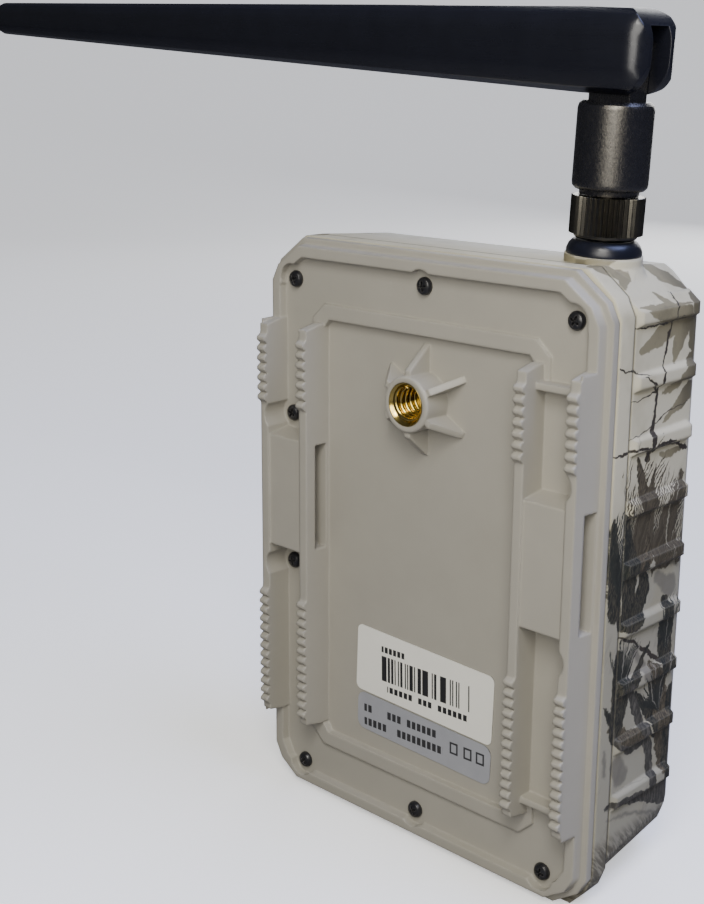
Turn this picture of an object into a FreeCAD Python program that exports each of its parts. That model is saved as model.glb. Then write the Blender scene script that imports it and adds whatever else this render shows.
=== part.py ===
"""Cellular trail camera: a camouflaged case with a grey tree-side cover and a folding whip antenna.

Row frame, millimetres: +Z is up, +Y is the tree side and -Y the lens side. The origin is the centre
of the case's base, so the case stands on Z = 0.
"""
import FreeCAD, Part

import math
import operator
import os

import Sketcher

os.makedirs("parts", exist_ok=True)
doc = FreeCAD.newDocument("TrailCamera")

# --- driving dimensions ------------------------------------------------------------------------

SIZES = {
    # case outline
    "case_width": 80.0,
    "case_height": 115.0,
    "corner_across": 8.0,
    "corner_rise": 6.0,
    "foot_across": 7.0,
    "foot_rise": 5.0,
    "frame_corner_across": 7.0,
    "frame_corner_rise": 5.6,
    "frame_foot_across": 4.6,
    "frame_foot_rise": 5.4,
    "housing_foot_rise": 7.6,
    "corner_soft": 2.0,
    "wall": 2.4,
    # depth levels of the case, as places along Y
    "crest_level": 21.9,
    "rail_level": 20.95,
    "block_level": 20.5,
    "rim_level": 17.2,
    "ridge_level": 16.1,
    "floor_level": 15.5,
    "flange_level": 15.1,
    "panel_level": 14.7,
    "cover_level": 13.5,
    "frame_back": 13.3,
    "frame_front": 9.3,
    "housing_back": 9.1,
    "side_level": -9.9,
    "shoulder_level": -15.0,
    "face_level": -18.5,
    "bezel_level": -21.5,
    # rear cover
    "flange_inset": 0.2,
    "rim_inset": 1.3,
    "rim_width": 2.3,
    "rim_draft": 0.3,
    "ridge_half": 28.25,
    "ridge_low": 11.35,
    "ridge_high": 102.8,
    "ridge_width": 2.9,
    "rail_low": 16.2,
    "rail_high": 99.0,
    "rail_width": 2.0,
    "low_wall_height": 19.5,
    "high_wall_height": 95.4,
    "inner_rail_side": 25.15,
    "outer_rail_side": 36.0,
    "tooth_pitch": 1.96,
    "tooth_depth": 0.85,
    "low_teeth_start": 18.2,
    "high_teeth_start": 82.5,
    "block_low": 52.9,
    "block_high": 76.5,
    "strap_width": 21.3,
    "strap_low": 54.0,
    "strap_depth": 3.0,
    "boss_height": 88.0,
    "boss_radius": 5.2,
    "fin_reach": 10.3,
    "fin_thickness": 1.3,
    "thread_radius": 3.175,
    "screw_radius": 0.95,
    "screw_head_radius": 1.65,
    # front housing
    "rib_pitch": 10.9,
    "rib_start": 19.9,
    "rib_crest": 40.7,
    "lens_height": 70.0,
    "pir_height": 36.0,
    "pir_radius": 11.5,
    "window_half": 26.0,
    "window_low": 86.0,
    "window_high": 104.0,
    # bottom door
    "door_half": 30.0,
    "door_hinge_depth": 6.4,
    "door_hinge_height": 2.4,
    "door_pin_radius": 0.8,
    "door_front": -13.3,
    # battery
    "cell_radius": 7.1,
    "cell_length": 50.0,
    "cell_low": 8.6,
    # antenna
    "antenna_across": -28.5,
    "antenna_depth": 2.5,
    "collar_top": 116.1,
    "collar_radius": 6.65,
    "sleeve_radius": 6.35,
    "sleeve_top": 141.4,
    "tongue_width": 8.0,
    "tongue_thickness": 5.0,
    "jack_radius": 3.17,
    "pivot_height": 149.35,
    "blade_back": 7.6,
    "blade_corner": 5.5,
    "blade_length": 182.2,
    "blade_height": 13.9,
    "blade_thickness": 12.6,
    "tip_height": 7.4,
    "tip_thickness": 6.8,
    "antenna_pin_radius": 1.5,
    "running_gap": 0.05,
}

ANTENNA_LEAN = 2.7
LABEL_TILT = 1.6
CORNER_SHRINK = 0.55
LOW_TEETH = 13
HIGH_TEETH = 7
RIBS = 9
KNURL_TEETH = 44

sheet = doc.addObject("Spreadsheet::Sheet", "Sizes")
for row, (alias, amount) in enumerate(SIZES.items(), start=1):
    sheet.set(f"A{row}", alias)
    sheet.set(f"B{row}", str(amount))
    sheet.setAlias(f"B{row}", alias)
doc.recompute()


class Size:
    """A number together with the sheet expression that drives it."""

    def __init__(self, value, text):
        self.value = value
        self.text = text

    def __add__(self, other):
        return combine(operator.add, self, "+", other)

    def __radd__(self, other):
        return combine(operator.add, other, "+", self)

    def __sub__(self, other):
        return combine(operator.sub, self, "-", other)

    def __rsub__(self, other):
        return combine(operator.sub, other, "-", self)

    def __mul__(self, other):
        return combine(operator.mul, self, "*", other)

    def __rmul__(self, other):
        return combine(operator.mul, other, "*", self)

    def __truediv__(self, other):
        return combine(operator.truediv, self, "/", other)

    def __neg__(self):
        return combine(operator.mul, -1, "*", self)


def number(size):
    """The plain number behind a size."""
    return size.value if isinstance(size, Size) else float(size)


def words(size):
    """The expression text of a size."""
    return size.text if isinstance(size, Size) else f"({float(size):.6f})"


def combine(action, left, sign, right):
    """Join two sizes, keeping the number and the expression in step."""
    return Size(action(number(left), number(right)), f"({words(left)} {sign} {words(right)})")


class Sheet:
    """The driving dimensions, one attribute for each alias."""


S = Sheet()
for alias, amount in SIZES.items():
    setattr(S, alias, Size(amount, f"Sizes.{alias}"))

# --- building blocks ---------------------------------------------------------------------------

TURNS = {
    "x": FreeCAD.Rotation(FreeCAD.Vector(0, 1, 0), 90),
    "y": FreeCAD.Rotation(FreeCAD.Vector(1, 0, 0), -90),
    "z": FreeCAD.Rotation(),
}
PLANES = {"x": "YZ_Plane", "y": "XZ_Plane", "z": "XY_Plane"}
NODES = []


def bind(item, **sizes):
    """Tie an object's properties to sheet expressions."""
    for name, size in sizes.items():
        item.setExpression(name, words(size))


def place(item, x, y, z, rotation=None):
    """Put an object at a bound position, turned by a fixed rotation."""
    if rotation is not None:
        item.Placement = FreeCAD.Placement(FreeCAD.Vector(), rotation)
    for axis, size in zip("xyz", (x, y, z)):
        item.setExpression(f"Placement.Base.{axis}", words(size))
    return item


def along(axis, centre, start):
    """The point at a place along an axis, given the two coordinates across it."""
    first, second = centre
    return {"x": (start, first, second), "y": (first, start, second), "z": (first, second, start)}[axis]


def block(name, x, y, z):
    """A box between low and high limits on each axis."""
    item = doc.addObject("Part::Box", name)
    bind(item, Length=x[1] - x[0], Width=y[1] - y[0], Height=z[1] - z[0])
    return place(item, x[0], y[0], z[0])


def rod(name, axis, centre, radius, span):
    """A cylinder along an axis between two limits."""
    item = doc.addObject("Part::Cylinder", name)
    bind(item, Radius=radius, Height=span[1] - span[0])
    return place(item, *along(axis, centre, span[0]), rotation=TURNS[axis])


def cone(name, axis, centre, radii, span):
    """A cone along an axis, with its radius at each end."""
    item = doc.addObject("Part::Cone", name)
    bind(item, Radius1=radii[0], Radius2=radii[1], Height=span[1] - span[0])
    return place(item, *along(axis, centre, span[0]), rotation=TURNS[axis])


def draw(sketch, points):
    """Draw a closed outline whose corners are held by sheet expressions."""
    corners = [FreeCAD.Vector(number(across), number(up), 0) for across, up in points]
    count = len(corners)
    for index, corner in enumerate(corners):
        sketch.addGeometry(Part.LineSegment(corner, corners[(index + 1) % count]))
    for index in range(count):
        following = (index + 1) % count
        sketch.addConstraint(Sketcher.Constraint("Coincident", index, 2, following, 1))
    for index, (across, up) in enumerate(points):
        hold(sketch, index, "DistanceX", across, -2)
        hold(sketch, index, "DistanceY", up, -1)


def hold(sketch, index, kind, size, axis):
    """Fix one coordinate of a corner, or put the corner on the sketch axis where it is zero."""
    if number(size) == 0:
        sketch.addConstraint(Sketcher.Constraint("PointOnObject", index, 1, axis))
        return
    made = sketch.addConstraint(Sketcher.Constraint(kind, -1, 1, index, 1, number(size)))
    if isinstance(size, Size):
        sketch.setExpression(f"Constraints[{made}]", size.text)


def sketch_on(body, plane, points, name="outline"):
    """A sketch on one of a body's own origin planes."""
    sketch = body.newObject("Sketcher::SketchObject", f"{body.Name}_{name}")
    origin = [item for item in body.Origin.OriginFeatures if item.Role == plane]
    sketch.AttachmentSupport = [(origin[0], "")]
    sketch.MapMode = "FlatFace"
    draw(sketch, points)
    return sketch


def prism(name, axis, points, span):
    """A body padded along an axis; points are the two coordinates across it, in X, Y, Z order."""
    body = doc.addObject("PartDesign::Body", name)
    sketch = sketch_on(body, PLANES[axis], points)
    pad = body.newObject("PartDesign::Pad", f"{name}_pad")
    pad.Profile = sketch
    bind(pad, Length=span[1] - span[0])
    start = span[1] if axis == "y" else span[0]
    return place(body, *along(axis, (0, 0), start))


def turned(name, axis, centre, points, start=0, spin=0):
    """A body turned about an axis; points are (radius, place along the axis)."""
    body = doc.addObject("PartDesign::Body", name)
    sketch = sketch_on(body, "XZ_Plane", points)
    turn = body.newObject("PartDesign::Revolution", f"{name}_turn")
    turn.Profile = sketch
    turn.ReferenceAxis = (sketch, ["V_Axis"])
    turn.Angle = 360
    spun = TURNS[axis].multiply(FreeCAD.Rotation(FreeCAD.Vector(0, 0, 1), spin))
    return place(body, *along(axis, centre, start), rotation=spun)


def group(name, items):
    """Several shapes as one tool."""
    if len(items) == 1:
        return items[0]
    item = doc.addObject("Part::MultiFuse", name)
    item.Shapes = list(items)
    return item


def fuse(name, *items):
    """One solid from several."""
    item = doc.addObject("Part::MultiFuse", name)
    item.Shapes = list(items)
    item.Refine = True
    return item


def cut(name, base, *tools):
    """A solid with the tools taken away."""
    item = doc.addObject("Part::Cut", name)
    item.Base = base
    item.Tool = group(f"{name}_tools", tools)
    item.Refine = True
    return item


def common(name, first, second):
    """The part that two solids share."""
    item = doc.addObject("Part::Common", name)
    item.Base = first
    item.Tool = second
    item.Refine = True
    return item


def collect(name, items):
    """Separate solids kept together in one node."""
    item = doc.addObject("Part::Compound", name)
    item.Links = list(items)
    return item


def copies(master, places):
    """Links to one master solid, each at its own bound place with its own rotation."""
    links = []
    for index, (position, rotation) in enumerate(places):
        link = doc.addObject("App::Link", f"{master.Name}_copy{index}")
        link.LinkedObject = master
        links.append(place(link, *position, rotation=rotation))
    return links


def node(name, item):
    """Name a finished sub-part."""
    item.Label = name
    NODES.append(item)
    return item


def octagon(half, low, high, across, rise, foot_across=None, foot_rise=None, soft=0):
    """Corner points of a chamfered upright rectangle; soft cuts the corners on its sides once more."""
    foot_across = across if foot_across is None else foot_across
    foot_rise = rise if foot_rise is None else foot_rise
    points = [(foot_across - half, low), (half - foot_across, low)]
    points += side_corner(half, low + foot_rise, foot_across, foot_rise, soft)
    points += side_corner(half, high - rise, across, -rise, soft)[::-1]
    points += [(half - across, high), (across - half, high)]
    points += [(-x, z) for x, z in side_corner(half, high - rise, across, -rise, soft)]
    points += [(-x, z) for x, z in side_corner(half, low + foot_rise, foot_across, foot_rise, soft)[::-1]]
    return points


def side_corner(half, height, across, rise, soft):
    """The corner between a chamfer and an upright side: one point, or two where it is softened."""
    if not soft:
        return [(half, height)]
    slant = math.hypot(number(across), number(rise))
    up = math.copysign(1, number(rise))
    return [(half - soft * (number(across) / slant), height - soft * (number(rise) / slant)),
            (half, height + soft * up)]


def case_outline(inset):
    """The cover's outline, pulled in evenly by an inset."""
    shrink = inset * CORNER_SHRINK
    return octagon(S.case_width / 2 - inset, inset, S.case_height - inset,
                   S.corner_across - shrink, S.corner_rise - shrink,
                   S.foot_across - shrink, S.foot_rise - shrink, S.corner_soft)


def frame_outline():
    """The frame's outline, whose corners stand a little proud of the cover's."""
    return octagon(S.case_width / 2, 0, S.case_height, S.frame_corner_across, S.frame_corner_rise,
                   S.frame_foot_across, S.frame_foot_rise, S.corner_soft)


def parting_outline(inset):
    """The housing's outline where it meets the frame, pulled in evenly by an inset."""
    shrink = inset * CORNER_SHRINK
    return octagon(S.case_width / 2 - inset, inset, S.case_height - inset,
                   S.frame_corner_across - shrink, S.frame_corner_rise - shrink,
                   S.corner_across - shrink, S.housing_foot_rise - shrink, S.corner_soft)


def centred(middle, half):
    """Limits on both sides of a middle."""
    return (middle - half, middle + half)


def mirrored(span, side):
    """Limits on the +X side, or mirrored to the -X side."""
    return span if side > 0 else (-span[1], -span[0])


HALF = S.case_width / 2
SIDES = (1, -1)
COVER_SCREWS = [(33.1, 106.8), (-33.1, 106.8), (0, 108.9), (30.8, 5.6), (-30.8, 5.6), (0, 6.0),
                (33.9, 80.0), (33.9, 49.1)]
SCREW_RELIEFS = COVER_SCREWS + [(-33.9, 80.0), (-33.9, 49.1)]
FRAME_SCREWS = [(33.9, 95.0), (-33.9, 95.0), (33.9, 19.0), (-33.9, 19.0)]

# --- rear cover ----------------------------------------------------------------------------------


def tooth_points(start, count):
    """Blunt teeth along a rail's crest, from the first valley to the last."""
    valley = S.crest_level - S.tooth_depth
    points = [(valley, start)]
    for index in range(count):
        low = start + S.tooth_pitch * index
        points.append((S.crest_level, low + S.tooth_pitch * 0.38))
        points.append((S.crest_level, low + S.tooth_pitch * 0.68))
        points.append((valley, low + S.tooth_pitch))
    return points


def rail(name, x):
    """A strap rail: a wall with plain stretches and two stretches of teeth."""
    foot = S.panel_level - 0.5
    plain = S.rail_level
    low_end = S.low_teeth_start + S.tooth_pitch * LOW_TEETH
    high_end = S.high_teeth_start + S.tooth_pitch * HIGH_TEETH
    points = [(foot, S.rail_low), (S.rim_level, S.rail_low), (plain, S.rail_low + 0.8)]
    points += tooth_points(S.low_teeth_start, LOW_TEETH)
    points += [(plain, low_end + 0.5), (plain, S.high_teeth_start - 0.5)]
    points += tooth_points(S.high_teeth_start, HIGH_TEETH)
    points += [(plain, high_end + 0.5), (plain, S.rail_high - 0.9)]
    points += [(S.rim_level, S.rail_high), (foot, S.rail_high)]
    return prism(name, "x", points, x)


def ring(name, outer, inner, y):
    """A band between two outlines."""
    hole = (y[0] - 1, y[1] + 1)
    return cut(name, prism(f"{name}_outer", "y", outer, y), prism(f"{name}_inner", "y", inner, hole))


def stacked(name, stations):
    """A solid ruled between upright outlines at rising or falling places along Y."""
    sections = []
    for index, (level, outline) in enumerate(stations):
        section = doc.addObject("Sketcher::SketchObject", f"{name}_section{index}")
        draw(section, outline)
        sections.append(place(section, 0, level, 0, FreeCAD.Rotation(FreeCAD.Vector(1, 0, 0), 90)))
    loft = doc.addObject("Part::Loft", name)
    loft.Sections = sections
    loft.Solid = True
    loft.Ruled = True
    return loft


def cover_rim():
    """The raised band around the cover, with drafted walls."""
    foot = S.flange_level - 0.5
    top = S.rim_level + 1
    inner = S.rim_inset + S.rim_width
    outside = stacked("rim_outside", [(foot, case_outline(S.rim_inset)),
                                      (S.rim_level, case_outline(S.rim_inset + S.rim_draft))])
    inside = stacked("rim_inside", [(foot - 1, case_outline(inner + S.rim_draft)),
                                    (top, case_outline(inner))])
    return cut("cover_rim", outside, inside)


def build_rear_cover():
    flange = prism("cover_flange", "y", case_outline(S.flange_inset), (S.cover_level, S.flange_level))
    floor = prism("cover_floor", "y", case_outline(S.rim_inset + 1), (S.cover_level, S.floor_level))
    plate = fuse("cover_plate", flange, floor)
    rim = cover_rim()
    relief_radius = 3.1
    reliefs = [rod(f"cover_relief{index}", "y", (x, z), relief_radius, (S.floor_level, S.crest_level + 1))
               for index, (x, z) in enumerate(SCREW_RELIEFS)]
    inner_half = S.ridge_half - S.ridge_width
    panel = octagon(inner_half, S.ridge_low + S.ridge_width, S.ridge_high - S.ridge_width, 1.4, 1.8)
    ridge = ring("cover_ridge", octagon(S.ridge_half, S.ridge_low, S.ridge_high, 3.0, 2.8), panel,
                 (S.cover_level, S.ridge_level))
    recess = prism("cover_recess", "y", panel, (S.panel_level, S.floor_level + 1))
    pieces = []
    for side in SIDES:
        tag = "left" if side > 0 else "right"
        inner = (S.inner_rail_side, S.inner_rail_side + S.rail_width)
        outer = (S.outer_rail_side, S.outer_rail_side + S.rail_width)
        pieces.append(rail(f"inner_rail_{tag}", mirrored(inner, side)))
        pieces.append(rail(f"outer_rail_{tag}", mirrored(outer, side)))
        slope = [(outer[1] - 0.3, S.flange_level - 1), (outer[1] - 0.3, S.rail_level - 0.4),
                 (outer[1], S.rail_level - 0.4), (HALF - S.rim_inset - S.rim_draft, S.rim_level),
                 (HALF - S.rim_inset, S.flange_level - 1)]
        slope = [(across * side, depth) for across, depth in slope]
        pieces.append(prism(f"rail_slope_{tag}", "z", slope, (S.rail_low, S.rail_high)))
        bridge = [(S.floor_level - 0.5, S.block_low - 0.6), (S.block_level, S.block_low + 0.4),
                  (S.block_level, S.block_high - 0.4), (S.floor_level - 0.5, S.block_high + 0.6)]
        across = mirrored((inner[1] - 0.5, outer[0] + 0.5), side)
        pieces.append(prism(f"bridge_{tag}", "x", bridge, across))
    channel = mirrored((S.inner_rail_side + 1, S.outer_rail_side + 1), -1)
    for index, height in enumerate((S.low_wall_height, S.high_wall_height)):
        pieces.append(block(f"cross_wall{index}", channel, (S.floor_level - 0.5, S.floor_level + 2.8),
                            centred(height, 0.6)))
    walls = cut("cover_walls", fuse("cover_walls_whole", rim, *pieces), *reliefs)
    reach = (S.inner_rail_side + S.rail_width, S.ridge_half + 1)
    channels = [block(f"channel{index}", mirrored(reach, side), (S.floor_level, S.ridge_level + 1),
                      (S.low_wall_height, S.high_wall_height))
                for index, side in enumerate(SIDES)]
    base = cut("cover_base", fuse("cover_ridged", plate, ridge), recess, *channels)
    hub_foot = S.cover_level - 2.2
    hub = turned("boss", "y", (0, S.boss_height), [
        (0, hub_foot), (S.boss_radius, hub_foot), (S.boss_radius, S.block_level - 0.3),
        (S.boss_radius - 0.3, S.block_level), (0, S.block_level)], spin=30)
    fin_crest = S.boss_radius + 0.9
    fin = sketch_on(hub, "XZ_Plane", [
        (S.boss_radius - 0.8, S.panel_level - 0.5), (S.fin_reach, S.panel_level - 0.5),
        (S.fin_reach, S.panel_level + 0.3), (fin_crest, S.block_level - 0.5),
        (S.boss_radius - 0.8, S.block_level - 0.5)], "fin")
    pad = hub.newObject("PartDesign::Pad", "boss_fin_pad")
    pad.Profile = fin
    pad.Midplane = True
    bind(pad, Length=S.fin_thickness)
    pattern = hub.newObject("PartDesign::PolarPattern", "boss_fins")
    pattern.Originals = [pad]
    pattern.Axis = ([item for item in hub.Origin.OriginFeatures if item.Role == "Z_Axis"][0], [""])
    pattern.Angle = 360
    pattern.Occurrences = 6
    hub.Tip = pattern
    tunnels = [block(f"strap_tunnel{index}", mirrored((S.inner_rail_side - 1.5, HALF + 1), side),
                     (S.floor_level, S.floor_level + S.strap_depth),
                     (S.strap_low, S.strap_low + S.strap_width))
               for index, side in enumerate(SIDES)]
    depths = (S.cover_level - 1, S.floor_level + 1)
    holes = [rod(f"cover_hole{index}", "y", (x, z), S.screw_radius + 0.1, depths)
             for index, (x, z) in enumerate(COVER_SCREWS)]
    insert_bore = rod("insert_bore", "y", (0, S.boss_height), 4.05, (12.0, S.crest_level))
    whole = fuse("cover_whole", base, walls, hub)
    return node("rear_cover", cut("rear_cover_solid", whole, insert_bore, *tunnels, *holes))


def build_tripod_insert():
    """Blind brass insert with a quarter-inch thread, drawn here at its major radius."""
    mouth = S.block_level + 0.1
    outer = 4.0
    foot = 12.1
    sink = outer - 0.15 - S.thread_radius
    profile = [(0, foot), (outer, foot), (outer, mouth), (S.thread_radius + sink, mouth),
               (S.thread_radius, mouth - sink), (S.thread_radius, foot + 0.9), (0, foot + 0.9)]
    node("tripod_insert", turned("insert", "y", (0, S.boss_height), profile))


def build_case_screws():
    """Twelve identical M2 pan-head screws: eight in the cover and four in the frame."""
    head = S.screw_head_radius
    shape = turned("screw_turned", "y", (0, 0), [
        (0, -6.0), (S.screw_radius - 0.35, -6.0), (S.screw_radius, -5.4), (S.screw_radius, 0.02),
        (head, 0.02), (head, 0.5), (head - 0.25, 0.95), (head - 0.8, 1.2), (0, 1.25)])
    slots = [block("screw_slot_wide", (-0.95, 0.95), (0.5, 2.0), (-0.22, 0.22)),
             block("screw_slot_tall", (-0.22, 0.22), (0.5, 2.0), (-0.95, 0.95))]
    master = cut("screw_master", shape, *slots)
    places = []
    for index, (x, z) in enumerate(COVER_SCREWS):
        places.append(((x, S.floor_level, z), FreeCAD.Rotation(FreeCAD.Vector(0, 1, 0), 25 + 37 * index)))
    for x, z in FRAME_SCREWS:
        places.append(((x, S.frame_back - 1.4, z), FreeCAD.Rotation()))
    node("case_screws", collect("case_screw_set", copies(master, places)))


def build_labels():
    """Two thin rectangular labels with rounded corners, on the recessed panel."""
    for name, x, z, radius in (("code_label", 17.25, 6.9, 1.2), ("rating_label", 17.0, 3.9, 1.8)):
        middle = 32.6 if name == "code_label" else 21.4
        points = []
        for right, up, start in ((1, -1, -90), (1, 1, 0), (-1, 1, 90), (-1, -1, 180)):
            for step in range(5):
                turn = math.radians(start + 22.5 * step)
                points.append((right * (x - radius) + radius * math.cos(turn),
                               up * (z - radius) + radius * math.sin(turn)))
        label = prism(name, "y", points, (0, 0.2))
        tilt = FreeCAD.Rotation(FreeCAD.Vector(0, 1, 0), -LABEL_TILT)
        place(label, -0.4, S.panel_level + 0.2, middle, tilt)
        node(name, label)


# --- frame and housing -----------------------------------------------------------------------------


def build_frame():
    band = ring("frame_band", frame_outline(), case_outline(3), (S.frame_front, S.frame_back))
    lugs = []
    for index, (x, z) in enumerate(COVER_SCREWS + FRAME_SCREWS):
        reach_x = (x - 3.2, x + 3.2) if x == 0 else mirrored((abs(x) - 3.2, 38.5), x)
        reach_z = (z - 3.2, z + 3.2)
        if z > 100:
            reach_z = (z - 3.2, 113.5)
        if z < 10:
            reach_z = (1.5, z + 3.2)
        lugs.append(block(f"frame_lug{index}", reach_x, (S.frame_front, S.frame_back), reach_z))
    limit = prism("frame_limit", "y", case_outline(0.6), (S.frame_front, S.frame_back))
    lugs = common("frame_lugs", group("frame_lug_set", lugs), limit)
    groove = ring("frame_groove", case_outline(0.9), case_outline(2.2),
                  (S.frame_back - 0.8, S.frame_back + 1))
    depths = (S.frame_front - 1, S.frame_back + 1)
    holes = [rod(f"frame_hole{index}", "y", (x, z), S.screw_radius + 0.02, depths)
             for index, (x, z) in enumerate(COVER_SCREWS + FRAME_SCREWS)]
    counterbores = [rod(f"frame_counterbore{index}", "y", (x, z), S.screw_head_radius + 0.3,
                        (S.frame_back - 1.4, S.frame_back + 1))
                    for index, (x, z) in enumerate(FRAME_SCREWS)]
    whole = fuse("frame_whole", band, lugs)
    node("rear_frame", cut("rear_frame_solid", whole, groove, *holes, *counterbores))
    node("cover_gasket", ring("cover_gasket_ring", case_outline(1.0), case_outline(2.1),
                              (S.frame_back - 0.75, S.cover_level - 0.02)))
    node("frame_gasket", ring("frame_gasket_ring", parting_outline(0.7), parting_outline(1.9),
                              (S.housing_back + 0.01, S.frame_front - 0.01)))


def housing_form(name, inset, back):
    """The housing's form from its back edge to its face, pulled in by an inset."""
    shrink = inset * CORNER_SHRINK
    stations = [(back, parting_outline(inset))]
    for level, half, low, high, across, rise, foot_across, foot_rise in (
            (S.side_level + inset * 0.2, HALF - 0.4, 0, S.case_height - 1.2, 6.8, 5.6, 8.4, 11.0),
            (S.shoulder_level + inset * 0.6, HALF - 3.2, 0, S.case_height - 3.0, 5.4, 5.0, 7.0, 9.6),
            (S.face_level + inset, HALF - 6.6, 3.6, S.case_height - 8.2, 5.4, 5.0, 6.4, 7.4)):
        outline = octagon(half - inset, low + inset, high - inset, across - shrink, rise - shrink,
                          foot_across - shrink, foot_rise - shrink, S.corner_soft)
        stations.append((level, outline))
    return stacked(name, stations)


def rib_outline(side):
    """Ribs on one side wall, as one comb whose back lies inside the wall."""
    root = HALF - 0.9
    points = []
    for index in range(RIBS):
        middle = S.rib_start + S.rib_pitch * index
        points += [(root, middle - 2.3), (S.rib_crest, middle - 1.0), (S.rib_crest, middle + 1.0),
                   (root, middle + 2.3)]
    points = [(root - 0.8, S.rib_start - 3)] + points
    points.append((root - 0.8, S.rib_start + S.rib_pitch * (RIBS - 1) + 3))
    return [(across * side, up) for across, up in points]


# each post: place across, height, and the level of the board that it carries
POSTS = [(28.5, 97.0, 6.0), (-28.5, 97.0, 6.0), (28.5, 65.5, 6.0), (-28.5, 65.5, 6.0),
         (25.0, 53.0, -13.2), (-25.0, 53.0, -13.2), (22.0, 14.0, -13.2),
         (23.0, 95.0, -13.6), (-23.0, 95.0, -13.6), (12.0, 70.0, -7.0), (-12.0, 70.0, -7.0)]


def build_housing():
    shell = cut("housing_shell", housing_form("housing_outer", 0, S.housing_back),
                housing_form("housing_inner", S.wall, S.housing_back + 0.5))
    ribs = []
    for index, side in enumerate(SIDES):
        comb = prism(f"rib_comb{index}", "y", rib_outline(side),
                     (S.side_level + 0.6, S.housing_back - 0.3))
        ramp = [(HALF - 0.2, S.housing_back), (HALF + 2, S.housing_back),
                (HALF + 2, S.housing_back - 3.3)]
        ramp = [(across * side, depth) for across, depth in ramp]
        ribs.append(cut(f"housing_ribs{index}", comb,
                        prism(f"rib_ramp{index}", "z", ramp, (S.rib_start - 5, S.case_height))))
    flare_low = 109.5
    collar_low = 108.6
    collar = [stand(cone("collar_flare", "z", (0, 0), (9.4, S.collar_radius), (flare_low, flare_low + 5.1)), flare_low),
              stand(rod("collar", "z", (0, 0), S.collar_radius, (collar_low, S.collar_top)), collar_low)]
    posts = [rod(f"post{index}", "y", (x, z), 2.0, (-17.0, level))
             for index, (x, z, level) in enumerate(POSTS)]
    for index, (x, z) in enumerate(FRAME_SCREWS):
        posts.append(rod(f"frame_post{index}", "y", (x, z), 2.8, (0, S.housing_back)))
        posts.append(block(f"frame_web{index}", mirrored((abs(x), HALF - 1.5), x), (0, S.housing_back),
                           centred(z, 1.2)))
    hinge_bosses = [block(f"hinge_boss{index}", mirrored((S.door_half + 0.25, 34.0), side), (3.4, S.housing_back),
                          (1.8, 6.2)) for index, side in enumerate(SIDES)]
    ledges = [block(f"seal_ledge{index}", mirrored((29.25, 31.2), side), (-13.0, 3.4), (3.7, 4.5))
              for index, side in enumerate(SIDES)]
    mouth = S.door_half + 0.2
    opening = block("door_opening", (-mouth, mouth), (S.door_front - 0.3, S.housing_back + 1), (-1, 3.7))
    throat = block("door_throat", (-29.25, 29.25), (-13.4, S.housing_back + 1), (3.0, 6.5))
    knuckle_room = block("knuckle_room", (-mouth, mouth), (3.6, S.housing_back + 1), (1.0, 6.5))
    latch_pocket = block("latch_pocket", (-4.4, 4.4), (-15.4, -13.0), (1.15, 2.75))
    hinge = (S.door_hinge_depth, S.door_hinge_height)
    pin_bore = rod("door_pin_bore", "x", hinge, S.door_pin_radius, (-33.0, 33.0))
    jack_bore = stand(rod("jack_bore", "z", (0, 0), S.jack_radius + 0.05, (100, 120)), 100)
    window = (-S.window_half, S.window_half)
    face_holes = [
        block("window_seat", window, (S.face_level - 1, S.face_level + 1.3), (S.window_low, S.window_high)),
        block("window_opening", (1.6 - S.window_half, S.window_half - 1.6), (S.face_level - 1, -14.0),
              (S.window_low + 1.6, S.window_high - 1.6)),
        rod("lens_opening", "y", (0, S.lens_height), 9.05, (S.face_level - 1, -14.0)),
        rod("pir_opening", "y", (0, S.pir_height), S.pir_radius - 1.0, (S.face_level - 1, -14.0)),
        rod("pir_seat", "y", (0, S.pir_height), S.pir_radius + 0.05, (S.face_level - 1, S.face_level + 1.0)),
        rod("sensor_opening", "y", (19.0, S.lens_height), 2.05, (S.face_level - 1, -14.0)),
        rod("status_opening", "y", (-19.0, S.lens_height), 1.55, (S.face_level - 1, -14.0)),
        rod("microphone_hole", "y", (-19.0, 60.0), 0.5, (S.face_level - 1, -14.0)),
    ]
    screw_holes = [rod(f"post_hole{index}", "y", (x, z), 0.72, (level - 4.0, level + 1))
                   for index, (x, z, level) in enumerate(POSTS)]
    screw_holes += [rod(f"frame_post_hole{index}", "y", (x, z), S.screw_radius + 0.02, (4.5, S.housing_back + 1))
                    for index, (x, z) in enumerate(FRAME_SCREWS)]
    collar_trim = block("collar_trim", (-HALF, -15.0), (S.housing_back, 20.0), (105.0, 120.0))
    whole = fuse("housing_whole", shell, *ribs, *collar, *posts, *hinge_bosses, *ledges)
    node("front_housing", cut("front_housing_solid", whole, opening, throat, knuckle_room, latch_pocket,
                              pin_bore, jack_bore, collar_trim, *face_holes, *screw_holes))


# --- optics and sensing ------------------------------------------------------------------------------


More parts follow.
